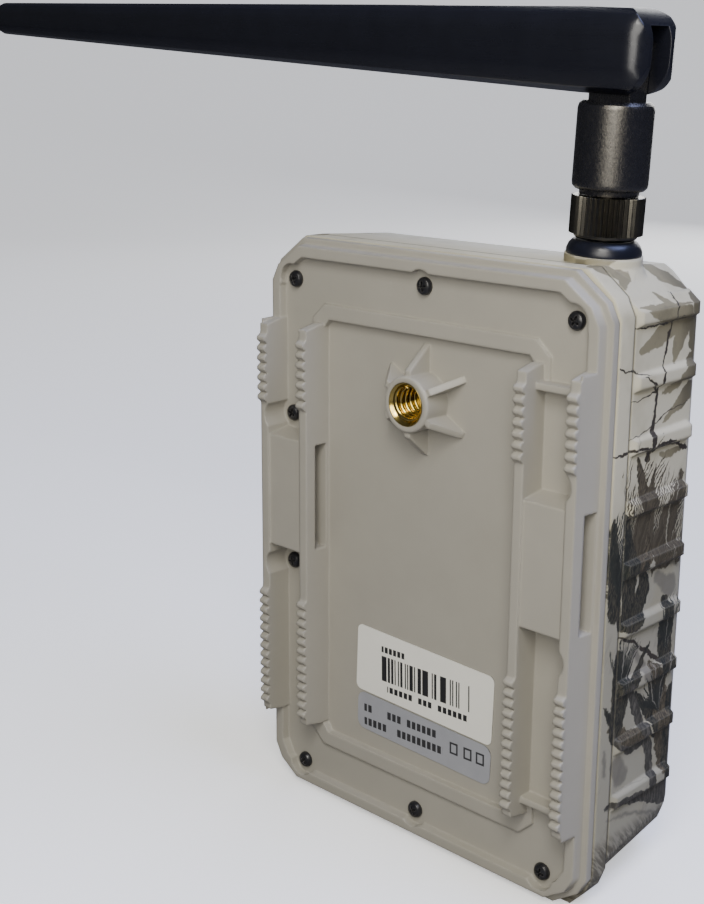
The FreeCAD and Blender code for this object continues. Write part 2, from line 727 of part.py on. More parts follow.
def build_optics():
    lens = (0, S.lens_height)
    node("lens_bezel", turned("bezel", "y", lens, [
        (7.2, -15.6), (9.0, -15.6), (9.0, S.face_level - 0.02), (13.0, S.face_level - 0.02),
        (13.0, S.bezel_level + 0.8), (12.2, S.bezel_level), (10.8, S.bezel_level),
        (7.2, -17.8), (7.2, -17.1), (8.1, -17.1), (8.1, -15.7), (7.2, -15.65)]))
    node("lens_window", rod("window_disc", "y", lens, 8.0, (-17.05, -15.75)))
    barrel = turned("barrel", "y", lens, [
        (2.6, -15.4), (5.6, -15.4), (6.0, -15.0), (6.0, -4.9), (3.2, -4.9), (3.2, -12.2), (4.6, -12.2),
        (4.6, -14.2), (2.6, -14.3)])
    node("lens_barrel", barrel)
    elements = [
        turned("front_element", "y", lens,
               [(0, -14.1), (2.2, -13.95), (4.5, -13.5), (4.5, -12.3), (0, -12.3)]),
        rod("rear_element", "y", lens, 3.1, (-7.5, -6.0)),
    ]
    node("lens_elements", collect("element_set", elements))
    height = S.lens_height
    holder = fuse("holder_whole", block("holder_box", (-10, 10), (-6.9, -2.0), centred(height, 8.0)),
                  block("holder_ears", (-14, 14), (-6.9, -5.0), centred(height, 3.0)),
                  rod("holder_collar", "y", lens, 8.0, (-10.5, -6.0)))
    node("lens_holder", cut(
        "lens_holder_solid", holder, rod("holder_bore", "y", lens, 6.05, (-11, -4.8)),
        rod("holder_aperture", "y", lens, 3.0, (-5, -1)),
        block("filter_channel", (-11, 11), (-4.5, -3.5), centred(height, 3.6)),
        block("sensor_pocket", (-4, 4), (-3.4, -1.0), centred(height, 4.0)),
        *[rod(f"holder_hole{side}", "y", (12.0 * side, height), 0.9, (-8, -3)) for side in SIDES]))
    node("ir_cut_filter", block("filter_plate", (-9.0, 3.4), (-4.35, -3.65), centred(height, 3.4)))
    node("image_sensor", block("sensor_chip", (-3.4, 3.4), (-3.0, -2.0), centred(height, 3.0)))
    node("sensor_board", block("sensor_board_plate", (-11, 11), (-1.98, -0.8), centred(height, 8.6)))


def build_infrared():
    inset = 0.1
    node("ir_window", block("ir_window_plate", (inset - S.window_half, S.window_half - inset),
                            (S.face_level - 0.4, S.face_level + 1.25),
                            (S.window_low + inset, S.window_high - inset)))
    board = block("ir_board_plate", (-25.2, 25.2), (-13.6, -12.4), (87.5, 102.5))
    node("ir_led_board", cut("ir_board_solid", board, *[
        rod(f"ir_board_hole{side}", "y", (23.0 * side, 95.0), 0.9, (-15, -11)) for side in SIDES]))
    led = turned("led_master", "y", (0, 0), [
        (0, -3.1), (0.8, -2.9), (1.3, -2.4), (1.5, -1.8), (1.5, -0.6), (1.75, -0.6), (1.75, 0), (0, 0)])
    places = [((4.7 * column, -13.62, 95.0 + 4.6 * row), TURNS["y"])
              for row in (-1, 0, 1) for column in range(-4, 5)]
    node("ir_leds", collect("led_set", copies(led, places)))


def build_sensing():
    middle = (0, S.pir_height)
    rise = 2.9
    radius = (S.pir_radius - 1.2) * (S.pir_radius - 1.2) / (2 * rise) + rise / 2
    level = S.face_level - rise + radius
    dome = doc.addObject("Part::Sphere", "pir_dome")
    bind(dome, Radius=radius)
    place(dome, 0, level, S.pir_height)
    hollow = doc.addObject("Part::Sphere", "pir_hollow")
    bind(hollow, Radius=radius - 0.9)
    place(hollow, 0, level, S.pir_height)
    cap = common("pir_cap", dome, rod("pir_limit", "y", middle, S.pir_radius - 1.1, (-23, S.face_level + 0.9)))
    flange = rod("pir_flange", "y", middle, S.pir_radius, (S.face_level + 0.02, S.face_level + 0.95))
    bore = rod("pir_bore", "y", middle, S.pir_radius - 2.6, (S.face_level + 0.1, S.face_level + 2))
    node("pir_lens", cut("pir_lens_solid", fuse("pir_lens_whole", cap, flange), hollow, bore))
    node("pir_sensor", turned("pir_can", "y", middle, [
        (0, -16.3), (3.6, -16.3), (4.1, -15.9), (4.1, -13.9), (4.6, -13.9), (4.6, -13.22), (0, -13.22)]))
    node("light_sensor_window", turned("light_window", "y", (19.0, S.lens_height), [
        (0, S.face_level - 0.45), (1.4, S.face_level - 0.3), (2.0, S.face_level), (2.0, -15.8), (0, -15.8)]))
    node("status_light", turned("status_pipe", "y", (-19.0, S.lens_height), [
        (0, S.face_level - 0.35), (1.0, S.face_level - 0.25), (1.5, S.face_level), (1.5, -15.4), (0, -15.4)]))
    node("microphone", turned("microphone_can", "y", (-19.0, 60.0), [
        (0.5, -15.9), (2.0, -15.9), (2.0, -14.0), (0, -14.0), (0, -15.2), (0.5, -15.2)]))


# --- electronics ---------------------------------------------------------------------------------------


def build_electronics():
    board = block("main_board_plate", (-30.4, 30.4), (6.02, 7.6), (62.5, 100.0))
    holes = [rod(f"main_board_hole{index}", "y", (x, z), 0.9, (5, 9))
             for index, (x, z, level) in enumerate(POSTS) if level == 6.0]
    chips = [block("processor", (-8, 6), (4.8, 6.2), (74, 88)),
             block("memory_chip", (11, 21), (4.9, 6.2), (76, 86)),
             block("power_stage", (10, 22), (4.4, 6.2), (65, 72))]
    node("main_board", cut("main_board_solid", fuse("main_board_whole", board, *chips), *holes))
    node("modem_module", fuse("modem_solid", block("modem_board", (-24, 6), (7.62, 8.6), (70, 98)),
                              block("modem_can", (-22, 4), (8.4, 10.6), (72, 96))))
    control = block("control_plate", (-28.8, 28.8), (-13.18, -12.0), (6.8, 57.0))
    node("control_board", cut("control_board_solid", control, *[
        rod(f"control_hole{index}", "y", (x, z), 0.9, (-15, -11))
        for index, (x, z, level) in enumerate(POSTS) if level == -13.2]))
    master = turned("board_screw", "y", (0, 0), [
        (0, -3.6), (0.4, -3.6), (0.7, -3.1), (0.7, 1.22), (1.3, 1.22), (1.3, 1.9), (0.9, 2.2), (0, 2.2)])
    heights = {6.0: 0.4, -7.0: 0.8, -13.2: 0.0, -13.6: 0.0}
    places = [((x, level + heights[level], z), TURNS["y"]) for x, z, level in POSTS]
    node("board_screws", collect("board_screw_set", copies(master, places)))
    ribbon = [(-11.98, 52.0), (-11.7, 52.0), (-11.7, 60.7), (6.0, 60.7), (6.0, 68.0), (5.7, 68.0), (5.7, 61.0),
              (-11.98, 61.0)]
    node("ribbon_cable", prism("ribbon", "x", ribbon, (-8.0, 6.0)))


def build_controls():
    panel = block("panel_plate", (-29.1, 29.1), (-13.2, -8.6), (4.7, 5.9))
    ports = [("card_port", (-28.2, -3.8), (-11.9, -9.3)), ("sim_port", (-1.8, 7.6), (-11.6, -10.2)),
             ("usb_port_hole", (9.4, 17.2), (-12.1, -9.0)), ("switch_port", (19.0, 24.2), (-11.6, -9.6)),
             ("key_port", (25.2, 28.4), (-12.0, -9.2))]
    node("control_panel", cut("control_panel_solid", panel, *[
        block(name, x, y, (4, 7)) for name, x, y in ports]))
    card_box = block("card_box", (-28.6, -3.4), (-11.98, -9.0), (6.0, 38.5))
    card_room = block("card_room", (-28.1, -3.9), (-11.75, -9.5), (5, 37.9))
    node("card_socket", cut("card_socket_solid", card_box, card_room))
    node("memory_card", fuse("memory_card_solid", block("card_plate", (-28.0, -4.0), (-11.65, -9.6), (4.9, 36.7)),
                             block("card_grip", (-20.0, -12.0), (-9.7, -9.52), (5.0, 5.8))))
    sim_box = block("sim_box", (-2.2, 8.0), (-11.98, -9.9), (6.0, 21.4))
    sim_room = block("sim_room", (-1.7, 7.5), (-11.5, -10.4), (5, 20.9))
    node("sim_socket", cut("sim_socket_solid", sim_box, sim_room))
    node("sim_card", block("sim_plate", (-1.6, 7.4), (-11.4, -10.6), (4.9, 19.9)))
    usb = block("usb_shell", (9.6, 17.0), (-11.98, -9.2), (5.0, 10.4))
    usb = cut("usb_hollow", usb, block("usb_room", (10.0, 16.6), (-11.6, -9.6), (4, 9.4)))
    node("usb_port", fuse("usb_solid", usb, block("usb_tongue", (11.0, 15.6), (-11.0, -10.2), (5.4, 9.6))))
    base = block("switch_box", (18.4, 24.8), (-11.98, -9.2), (6.0, 9.4))
    slot = block("switch_slot", (19.1, 24.1), (-11.45, -9.75), (5, 7.9))
    node("mode_switch_base", cut("switch_base_solid", base, slot))
    node("mode_switch", fuse("mode_switch_solid", block("switch_stem", (19.4, 21.2), (-11.2, -10.0), (4.0, 7.8)),
                             block("switch_foot", (19.3, 21.9), (-11.3, -9.9), (6.4, 7.7))))
    key_base = block("key_box", (25.0, 28.6), (-11.98, -8.9), (6.8, 9.2))
    key_room = block("key_room", (25.5, 28.1), (-11.5, -9.4), (6.5, 8.4))
    node("test_key_base", cut("key_base_solid", key_base, key_room))
    node("test_key", fuse("test_key_solid", block("key_cap", (25.4, 28.2), (-11.8, -9.4), (4.3, 6.1)),
                          block("key_stem", (26.0, 27.6), (-11.2, -10.0), (6.0, 7.8))))


def build_battery():
    centres = [-21.6, -7.2, 7.2, 21.6]
    depth = 0.3
    top = S.cell_low + S.cell_length
    tray = block("tray_block", (-29.0, 29.0), (-7.6, 8.0), (6.8, top + 1.8))
    rooms = [rod(f"cell_room{index}", "z", (x, depth), S.cell_radius + 0.05, (S.cell_low - 0.6, top + 0.6))
             for index, x in enumerate(centres)]
    front = block("tray_window", (-28.0, 28.0), (-9.0, -3.4), (10.5, 56.5))
    grip = block("tray_grip", (-10.0, 10.0), (-8.5, -5.0), (6.0, 7.9))
    node("battery_cassette", cut("cassette_solid", tray, front, grip, *rooms))
    cell = turned("cell_master", "z", (0, 0), [
        (0, 0), (S.cell_radius - 0.4, 0), (S.cell_radius, 0.4), (S.cell_radius, S.cell_length - 1.6),
        (S.cell_radius - 0.6, S.cell_length - 1.0), (2.7, S.cell_length - 1.0),
        (2.7, S.cell_length), (0, S.cell_length)])
    upright = FreeCAD.Rotation()
    over = FreeCAD.Rotation(FreeCAD.Vector(1, 0, 0), 180)
    places = [((x, depth, S.cell_low), upright) if index % 2 == 0 else ((x, depth, top), over)
              for index, x in enumerate(centres)]
    node("battery_cells", collect("cell_set", copies(cell, places)))
    contacts = []
    for index, x in enumerate(centres):
        contacts.append(rod(f"low_contact{index}", "z", (x, depth), 4.5,
                            (S.cell_low - 0.55, S.cell_low - 0.05)))
        contacts.append(rod(f"high_contact{index}", "z", (x, depth), 4.5, (top + 0.05, top + 0.55)))
    node("battery_contacts", collect("contact_set", contacts))


# --- bottom door ---------------------------------------------------------------------------------


def build_door():
    hinge = (S.door_hinge_depth, S.door_hinge_height)
    width = (-S.door_half, S.door_half)
    plate = block("door_plate", width, (S.door_front, S.door_hinge_depth), (0, 2.6))
    knuckle = rod("door_knuckle", "x", hinge, 2.3, width)
    slab = fuse("door_slab", plate, knuckle)
    node("bottom_door", cut(
        "bottom_door_solid", slab,
        rod("door_bore", "x", hinge, S.door_pin_radius + S.running_gap, (-31, 31)),
        block("latch_recess", (-6.3, 6.3), (-12.2, -4.6), (-1, 1.4)),
        block("latch_slot", (-4.3, 4.3), (S.door_front - 1, -5.6), (1.15, 3))))
    node("door_hinge_pin", rod("door_pin", "x", hinge, S.door_pin_radius, (-32.9, 32.9)))
    outer = block("seal_outer", (-29.9, 29.9), (-13.2, 3.4), (2.62, 3.65))
    node("door_seal", cut("door_seal_solid", outer, block("seal_inner", (-28.7, 28.7), (-12.0, 2.2), (2, 5))))
    grip = block("latch_grip", (-6.2, 6.2), (-10.3, -4.9), (0.25, 1.3))
    bolt = block("latch_bolt", (-4.1, 4.1), (-13.2, -6.2), (1.25, 2.5))
    grooves = [block(f"latch_groove{index}", (-5.2, 5.2), centred(-9.0 + 1.4 * index, 0.3), (0.0, 0.65))
               for index in range(3)]
    node("door_latch", cut("door_latch_solid", fuse("latch_whole", grip, bolt), *grooves))


# --- antenna -------------------------------------------------------------------------------------


def stand(item, height=0):
    """Move an item from an upright axis at X = Y = 0 to the antenna's axis, which leans from the collar."""
    lean = math.radians(ANTENNA_LEAN)
    rise = height - S.collar_top
    turn = FreeCAD.Rotation(FreeCAD.Vector(0, 1, 0), -ANTENNA_LEAN)
    return place(item, S.antenna_across - rise * math.sin(lean), S.antenna_depth,
                 S.collar_top + rise * math.cos(lean), turn)


def knurl_outline(radius, depth, teeth):
    """Star outline of a straight knurl."""
    points = []
    for index in range(2 * teeth):
        reach = radius if index % 2 == 0 else radius - depth
        turn = math.pi * index / teeth + 0.013
        points.append((reach * math.cos(turn), reach * math.sin(turn)))
    return points


def build_antenna_root():
    """The threaded jack through the collar, its nut, and the rubber boot around them."""
    bore = S.jack_radius + 0.05
    boot_foot = S.collar_top + 0.02
    node("antenna_jack", stand(turned("jack", "z", (0, 0), [
        (0, 103.0), (2.0, 103.0), (2.0, 106.6), (4.6, 106.6), (4.6, 108.5), (S.jack_radius, 108.5),
        (S.jack_radius, 122.5), (2.3, 122.8), (0.55, 122.8), (0.55, 116.5), (0, 116.5)])))
    nut = doc.addObject("Part::Prism", "jack_nut_hexagon")
    nut.Polygon = 6
    bind(nut, Circumradius=4.5, Height=1.8)
    place(nut, 0, 0, boot_foot)
    node("jack_nut", stand(cut("jack_nut_solid", nut, rod("jack_nut_bore", "z", (0, 0), bore, (115, 119)))))
    node("antenna_boot", stand(turned("boot", "z", (0, 0), [
        (4.7, boot_foot), (6.45, boot_foot), (6.4, 116.9), (6.05, 117.8), (5.4, 118.5), (4.9, 118.65),
        (bore, 118.65), (bore, 118.05), (4.7, 118.05)])))
    drift = (number(S.collar_top) - 102.75) * math.sin(math.radians(ANTENNA_LEAN))
    tail = [FreeCAD.Vector(number(S.antenna_across) + across, number(S.antenna_depth) + depth, height)
            for across, depth, height in (
                (drift, 0, 102.7), (0.7, 0.2, 102.0), (1.0, 2.0, 101.3), (1.7, 4.6, 101.2), (2.6, 6.5, 99.8),
                (3.3, 7.0, 97.0), (3.5, 6.9, 93.0), (3.5, 6.9, 88.0))]
    path = Part.BSplineCurve()
    path.interpolate(tail)
    spine = Part.Wire([path.toShape()])
    section = Part.Wire([Part.makeCircle(0.6, tail[0], path.tangent(path.FirstParameter)[0])])
    pigtail = doc.addObject("Part::Feature", "pigtail")
    pigtail.Shape = spine.makePipeShell([section], True, True)
    pigtail.Placement = FreeCAD.Placement()
    node("coax_pigtail", pigtail)


def build_coupling_nut():
    bore = S.jack_radius + 0.08
    low, high = 118.8, 126.05
    core = turned("coupling_core", "z", (0, 0), [
        (bore, low), (5.0, low), (5.35, low + 0.35), (5.35, high - 0.35), (5.0, high), (2.6, high),
        (2.6, 124.2), (bore, 124.2)])
    grip_low = 119.6
    grip = prism("coupling_grip", "z", knurl_outline(6.25, 0.42, KNURL_TEETH), (grip_low, 125.95))
    place(grip, 0, 0, grip_low)
    grip = cut("coupling_grip_ring", grip, rod("coupling_grip_bore", "z", (0, 0), 4.4, (119, 126)))
    node("coupling_nut", stand(fuse("coupling_nut_solid", core, grip)))


def build_antenna_base():
    """The swivel sleeve and its hinge tongue; a saddle in its top clears the blade's corners."""
    top = S.sleeve_top
    side = S.sleeve_radius
    low = 127.0
    sleeve = turned("sleeve", "z", (0, 0), [
        (0.46, 123.4), (2.5, 123.4), (2.5, 126.15), (5.0, 126.15), (5.0, low), (side - 0.6, low),
        (side - 0.1, low + 0.5), (side, low + 1.1), (side, top - 1.2), (side - 0.2, top - 0.5),
        (side - 0.8, top), (0, top), (0, 126.4), (0.46, 126.4)])
    pivot = (0, S.pivot_height)
    saddle = cut("sleeve_saddled", sleeve, rod("saddle", "y", pivot, 8.55, (-8, 8)))
    thick = centred(0, S.tongue_thickness / 2)
    half = S.tongue_width / 2
    tongue = block("tongue_wall", centred(0, half), thick, (S.sleeve_top - 2, S.pivot_height))
    head = rod("tongue_head", "y", pivot, half, thick)
    bore = rod("tongue_bore", "y", pivot, S.antenna_pin_radius + S.running_gap, (-5, 5))
    node("antenna_base", stand(cut("antenna_base_solid", fuse("antenna_base_whole", saddle, tongue, head), bore)))
    contact_low = 117.5
    node("antenna_contact", stand(rod("contact_pin", "z", (0, 0), 0.46, (contact_low, 126.3)), contact_low))
    pin = rod("antenna_pin", "y", pivot, S.antenna_pin_radius, (-5.0, 5.0))
    node("antenna_hinge_pin", stand(collect("antenna_pin_set", [pin])))


def blade_section(name, x, height, thickness):
    """A faceted cross-section of the blade, square to its length."""
    section = doc.addObject("Sketcher::SketchObject", name)
    quadrant = [(1.0, 0.35), (0.95, 0.62), (0.8, 0.84), (0.52, 0.97), (0.25, 1.0)]
    upper = quadrant + [(-across, up) for across, up in quadrant[::-1]]
    draw(section, [(thickness / 2 * across, height / 2 * up)
                   for across, up in upper + [(-across, -up) for across, up in upper]])
    turn = FreeCAD.Rotation(FreeCAD.Vector(0, 1, 0), FreeCAD.Vector(0, 0, 1),
                            FreeCAD.Vector(1, 0, 0), "XYZ")
    return place(section, x, 0, 0, turn)


def build_blade():
    """The blade lies along +X from its pivot, square to the stem; then it is moved to the stem's head."""
    half = S.blade_height / 2
    back = -S.blade_back
    stations = [(back + reach, S.blade_height, S.blade_thickness * share)
                for reach, share in ((0, 0.56), (0.7, 0.78), (1.8, 0.92), (3.4, 1.0), (14.0, 1.0))]
    stations += [
        (S.blade_length - 3.0, S.tip_height, S.tip_thickness),
        (S.blade_length - 0.9, S.tip_height * 0.86, S.tip_thickness * 0.84),
        (S.blade_length, S.tip_height * 0.58, S.tip_thickness * 0.55)]
    loft = doc.addObject("Part::Loft", "blade_loft")
    loft.Sections = [blade_section(f"blade_section{index}", *station) for index, station in enumerate(stations)]
    loft.Solid = True
    loft.Ruled = True
    rounding = back + S.blade_corner
    offset = half - S.blade_corner
    width = (-8, 8)
    side = fuse("blade_side", rod("blade_corner_low", "y", (rounding, -offset), S.blade_corner, width),
                rod("blade_corner_high", "y", (rounding, offset), S.blade_corner, width),
                block("blade_end", (back, rounding), width, (-offset, offset)),
                block("blade_run", (rounding, S.blade_length + 2), width, (-half, half)))
    form = common("blade_form", loft, side)
    slot_half = S.tongue_thickness / 2 + 0.15
    tongue_room = S.tongue_width / 2 + 0.15
    slot = block("blade_slot", (back - 1, tongue_room), (-slot_half, slot_half), (-half - 1, tongue_room))
    duct = block("blade_duct", (tongue_room - 1, 165.0), (-0.8, 0.8), (-2.2, 2.2))
    bore = rod("blade_bore", "y", (0, 0), S.antenna_pin_radius, (-5.05, 5.05))
    node("antenna_blade", stand(cut("blade_solid", form, slot, duct, bore), S.pivot_height))
    strip_start = 6.0
    strip = block("radiator_strip", (strip_start, 162.0), (-0.5, 0.5), (-2.0, 2.0))
    eyelet = rod("radiator_slot", "y", (146, 0), 0.6, (-2, 2))
    node("antenna_radiator", stand(cut("radiator_solid", strip, eyelet), S.pivot_height))


# --- assemble, check and write -------------------------------------------------------------------

build_rear_cover()
build_tripod_insert()
build_case_screws()
build_labels()
build_frame()
build_housing()
build_optics()
build_infrared()
build_sensing()
build_electronics()
build_controls()
build_battery()
build_door()
build_antenna_root()
build_coupling_nut()
build_antenna_base()
build_blade()
doc.recompute()

for item in doc.Objects:
    if "Invalid" in item.State or "Error" in item.State:
        raise RuntimeError(f"{item.Name} ({item.Label}) failed: {item.State}")
for item in NODES:
    if item.Shape.isNull() or not item.Shape.isValid():
        raise RuntimeError(f"{item.Label} has no valid shape")
for item in NODES:
    item.Shape.exportStep(f"parts/{item.Label}.step")
    box = item.Shape.BoundBox
    print(f"{item.Label:20s} solids {len(item.Shape.Solids):3d} volume {item.Shape.Volume:9.1f}"
          f" x {box.XMin:7.2f} {box.XMax:7.2f} y {box.YMin:7.2f} {box.YMax:7.2f} z {box.ZMin:7.2f} {box.ZMax:7.2f}")
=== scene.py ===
"""Looks of the trail camera: materials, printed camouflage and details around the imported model.

Lengths are metres in the shared frame; shader code and names that end in _MM use millimetres.
"""

import math

import bpy
from mathutils import Matrix, Vector
from mathutils.bvhtree import BVHTree


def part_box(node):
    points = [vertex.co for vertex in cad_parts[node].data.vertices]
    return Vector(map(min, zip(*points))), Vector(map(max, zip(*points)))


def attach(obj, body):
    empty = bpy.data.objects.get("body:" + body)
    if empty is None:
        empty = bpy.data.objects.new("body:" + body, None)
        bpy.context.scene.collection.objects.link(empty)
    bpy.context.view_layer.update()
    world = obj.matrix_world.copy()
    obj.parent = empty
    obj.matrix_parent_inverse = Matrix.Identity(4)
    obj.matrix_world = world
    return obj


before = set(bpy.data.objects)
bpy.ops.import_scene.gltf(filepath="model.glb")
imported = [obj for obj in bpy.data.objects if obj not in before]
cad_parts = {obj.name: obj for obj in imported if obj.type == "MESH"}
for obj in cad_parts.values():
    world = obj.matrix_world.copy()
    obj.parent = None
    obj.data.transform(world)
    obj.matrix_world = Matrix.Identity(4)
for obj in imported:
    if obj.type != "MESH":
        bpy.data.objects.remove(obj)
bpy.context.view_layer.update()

MM = 0.001

# --- shader arithmetic ---------------------------------------------------------------------------


class Field:
    """A socket of a node tree that takes part in plain arithmetic."""

    def __init__(self, graph, socket):
        self.graph = graph
        self.socket = socket

    def __add__(self, other):
        return self.graph.math("ADD", self, other)

    def __radd__(self, other):
        return self.graph.math("ADD", other, self)

    def __sub__(self, other):
        return self.graph.math("SUBTRACT", self, other)

    def __rsub__(self, other):
        return self.graph.math("SUBTRACT", other, self)

    def __mul__(self, other):
        return self.graph.math("MULTIPLY", self, other)

    def __rmul__(self, other):
        return self.graph.math("MULTIPLY", other, self)

    def __truediv__(self, other):
        return self.graph.math("DIVIDE", self, other)

    def __gt__(self, other):
        return self.graph.math("GREATER_THAN", self, other)

    def __lt__(self, other):
        return self.graph.math("LESS_THAN", self, other)

    def __abs__(self):
        return self.graph.math("ABSOLUTE", self)

    def function(self, operation, *others):
        return self.graph.math(operation, self, *others)


class Graph:
    """A material whose node tree is written as expressions."""

    def __init__(self, name):
        self.material = bpy.data.materials.new(name)
        self.material.use_nodes = True
        self.tree = self.material.node_tree
        self.tree.nodes.clear()

    def node(self, kind, settings=None, **inputs):
        made = self.tree.nodes.new(kind)
        for name, value in (settings or {}).items():
            setattr(made, name, value)
        for name, value in inputs.items():
            self.plug(made.inputs[name.replace("_", " ")], value)
        return made

    def plug(self, socket, value):
        if isinstance(value, Field):
            self.tree.links.new(value.socket, socket)
        elif socket.type == "RGBA":
            socket.default_value = (*value[:3], 1.0)
        else:
            socket.default_value = value

    def field(self, node, output=0):
        return Field(self, node.outputs[output])

    def math(self, operation, *terms):
        made = self.tree.nodes.new("ShaderNodeMath")
        made.operation = operation
        for index, term in enumerate(terms):
            self.plug(made.inputs[index], term)
        return self.field(made)

    def coordinates(self):
        """Object coordinates in millimetres."""
        made = self.node("ShaderNodeTexCoord")
        scaled = self.node("ShaderNodeVectorMath", {"operation": "SCALE"}, Scale=1 / MM)
        self.tree.links.new(made.outputs["Object"], scaled.inputs[0])
        return self.field(scaled)

    def normal(self):
        return self.field(self.node("ShaderNodeTexCoord"), "Normal")

    def split(self, vector):
        made = self.node("ShaderNodeSeparateXYZ", Vector=vector)
        return self.field(made, 0), self.field(made, 1), self.field(made, 2)

    def join(self, x, y, z=0.0):
        return self.field(self.node("ShaderNodeCombineXYZ", X=x, Y=y, Z=z))

    def ramp(self, value, low, high):
        """0 below low and 1 above high, smoothly.

        The smooth step limits itself. A clamp is compiled last and can fill the shader's stack.
        """
        settings = {"interpolation_type": "SMOOTHSTEP", "clamp": False}
        return self.field(self.node("ShaderNodeMapRange", settings,
                                    Value=value, From_Min=low, From_Max=high))

    def noise(self, vector, size, detail=2.0, roughness=0.5, dimensions="3D"):
        """Noise whose features are about `size` millimetres across."""
        made = self.node("ShaderNodeTexNoise", {"noise_dimensions": dimensions}, Vector=vector,
                         Scale=1 / size, Detail=detail, Roughness=roughness)
        return self.field(made)

    def random(self, value):
        """A random number for each whole-number value."""
        made = self.node("ShaderNodeTexWhiteNoise", {"noise_dimensions": "1D"}, W=value)
        return self.field(made, 0)

    def mix(self, factor, first, second):
        """A colour between two; inputs 6 and 7 of the node are its colour sockets."""
        made = self.node("ShaderNodeMix", {"data_type": "RGBA"})
        self.plug(made.inputs["Factor"], factor)
        self.plug(made.inputs[6], first)
        self.plug(made.inputs[7], second)
        return self.field(made, 2)

    def bump(self, height, distance, normal=None):
        """Surface relief; height runs 0 to 1 and distance is its depth in millimetres."""
        made = self.node("ShaderNodeBump", Height=height, Distance=distance * MM)
        if normal is not None:
            self.plug(made.inputs["Normal"], normal)
        return self.field(made)

    def capsule(self, point, start, end, first, last):
        """Distance in millimetres inside a straight stroke that runs from one width to another."""
        run = Vector((end[0] - start[0], end[1] - start[1], 0))
        local = self.node("ShaderNodeVectorMath", {"operation": "SUBTRACT"})
        self.plug(local.inputs[0], point)
        local.inputs[1].default_value = (start[0], start[1], 0)
        along = self.node("ShaderNodeVectorMath", {"operation": "DOT_PRODUCT"})
        self.tree.links.new(local.outputs[0], along.inputs[0])
        along.inputs[1].default_value = run / max(run.length_squared, 0.01)
        share = self.field(along, "Value").function("MAXIMUM", 0.0).function("MINIMUM", 1.0)
        reach = self.node("ShaderNodeVectorMath", {"operation": "SCALE"})
        reach.inputs[0].default_value = run
        self.plug(reach.inputs["Scale"], share)
        away = self.node("ShaderNodeVectorMath", {"operation": "DISTANCE"})
        self.tree.links.new(local.outputs[0], away.inputs[0])
        self.tree.links.new(reach.outputs[0], away.inputs[1])
        return share * (last - first) + first - self.field(away, "Value")

    def strokes(self, point, paths, soft=0.2, grow=1.0):
        """Brush strokes through (across, up, half width) points."""
        mask = -1.0
        for path in paths:
            for (x1, y1, w1), (x2, y2, w2) in zip(path, path[1:]):
                part = self.capsule(point, (x1, y1), (x2, y2), w1 * grow, w2 * grow)
                mask = part.function("MAXIMUM", mask)
        return self.ramp(mask, 0.0, soft)

    def rounded(self, radius):
        """Normals that run softly around edges within a radius in millimetres."""
        return self.field(self.node("ShaderNodeBevel", {"samples": 4}, Radius=radius * MM))

    def edges(self, radius=0.6):
        """1 on sharp outer edges, 0 on flats."""
        geometry = self.node("ShaderNodeNewGeometry")
        dot = self.node("ShaderNodeVectorMath", {"operation": "DOT_PRODUCT"})
        self.plug(dot.inputs[0], self.rounded(radius))
        self.tree.links.new(geometry.outputs["Normal"], dot.inputs[1])
        return self.ramp(self.field(dot, "Value"), 0.995, 0.86)

    def surface(self, **inputs):
        """Finish the material with a principled surface."""
        shader = self.node("ShaderNodeBsdfPrincipled", **inputs)
        output = self.node("ShaderNodeOutputMaterial")
        self.tree.links.new(shader.outputs[0], output.inputs[0])
        return self.material


def shade(red, green, blue):
    """A colour given as 0-255 display values."""
    return tuple(((value / 255 + 0.055) / 1.055) ** 2.4 for value in (red, green, blue))


def tint(colour, factor):
    """A colour made lighter or darker."""
    return tuple(channel * factor for channel in colour)


# --- plastics ------------------------------------------------------------------------------------

COVER_GREY = (0.352, 0.334, 0.287)
ANTENNA_BLACK = (0.0055, 0.006, 0.0095)


def moulded(name, colour, roughness, grain=0.22, relief=0.012, radius=0.3):
    """Moulded plastic: spark-eroded grain, faint flow mottling, and edges that are slightly smoother
    and painted lighter as a highlight.
    """
    g = Graph(name)
    place = g.coordinates()
    cloud = g.noise(place, 9.0, 3.0, 0.6)
    dust = g.noise(place, 1.6, 4.0, 0.7)
    lighter_edge = g.edges()
    base = g.mix(cloud, tint(colour, 0.94), tint(colour, 1.06))
    base = g.mix(g.ramp(dust, 0.62, 0.8) * 0.25, base, tint(colour, 1.25))
    # edges painted lighter: a painted highlight along the rounded edges
    base = g.mix(lighter_edge * 0.22, base, tint(colour, 1.6))
    fine = g.noise(place, grain, 2.0, 0.6)
    rough = roughness + (dust - 0.5) * 0.12 - lighter_edge * 0.08
    return g.surface(Base_Color=base, Roughness=rough, Specular_IOR_Level=0.45,
                     Normal=g.bump(fine, relief, normal=g.rounded(radius)))


def antenna_black():
    """Satin radome plastic with a faint blue sheen and fine rubbed streaks along its length."""
    g = Graph("antenna_black")
    place = g.coordinates()
    x, y, z = g.split(place)
    streak = g.noise(g.join(x / 14.0, y * 1.5, z * 1.5), 1.0, 3.0, 0.6)
    speck = g.noise(place, 0.16, 2.0, 0.7)
    cloud = g.noise(place, 6.0, 3.0, 0.6)
    base = g.mix(cloud, ANTENNA_BLACK, tint(ANTENNA_BLACK, 1.7))
    lighter_edge = g.edges(0.5)
    base = g.mix(lighter_edge * 0.35, base, (0.05, 0.05, 0.06))
    rough = 0.3 + (streak - 0.5) * 0.16 + (speck - 0.5) * 0.1
    return g.surface(Base_Color=base, Roughness=rough, Normal=g.bump(speck, 0.01),
                     Coat_Weight=0.12, Coat_Roughness=0.22, Coat_Tint=(0.75, 0.82, 1.0))


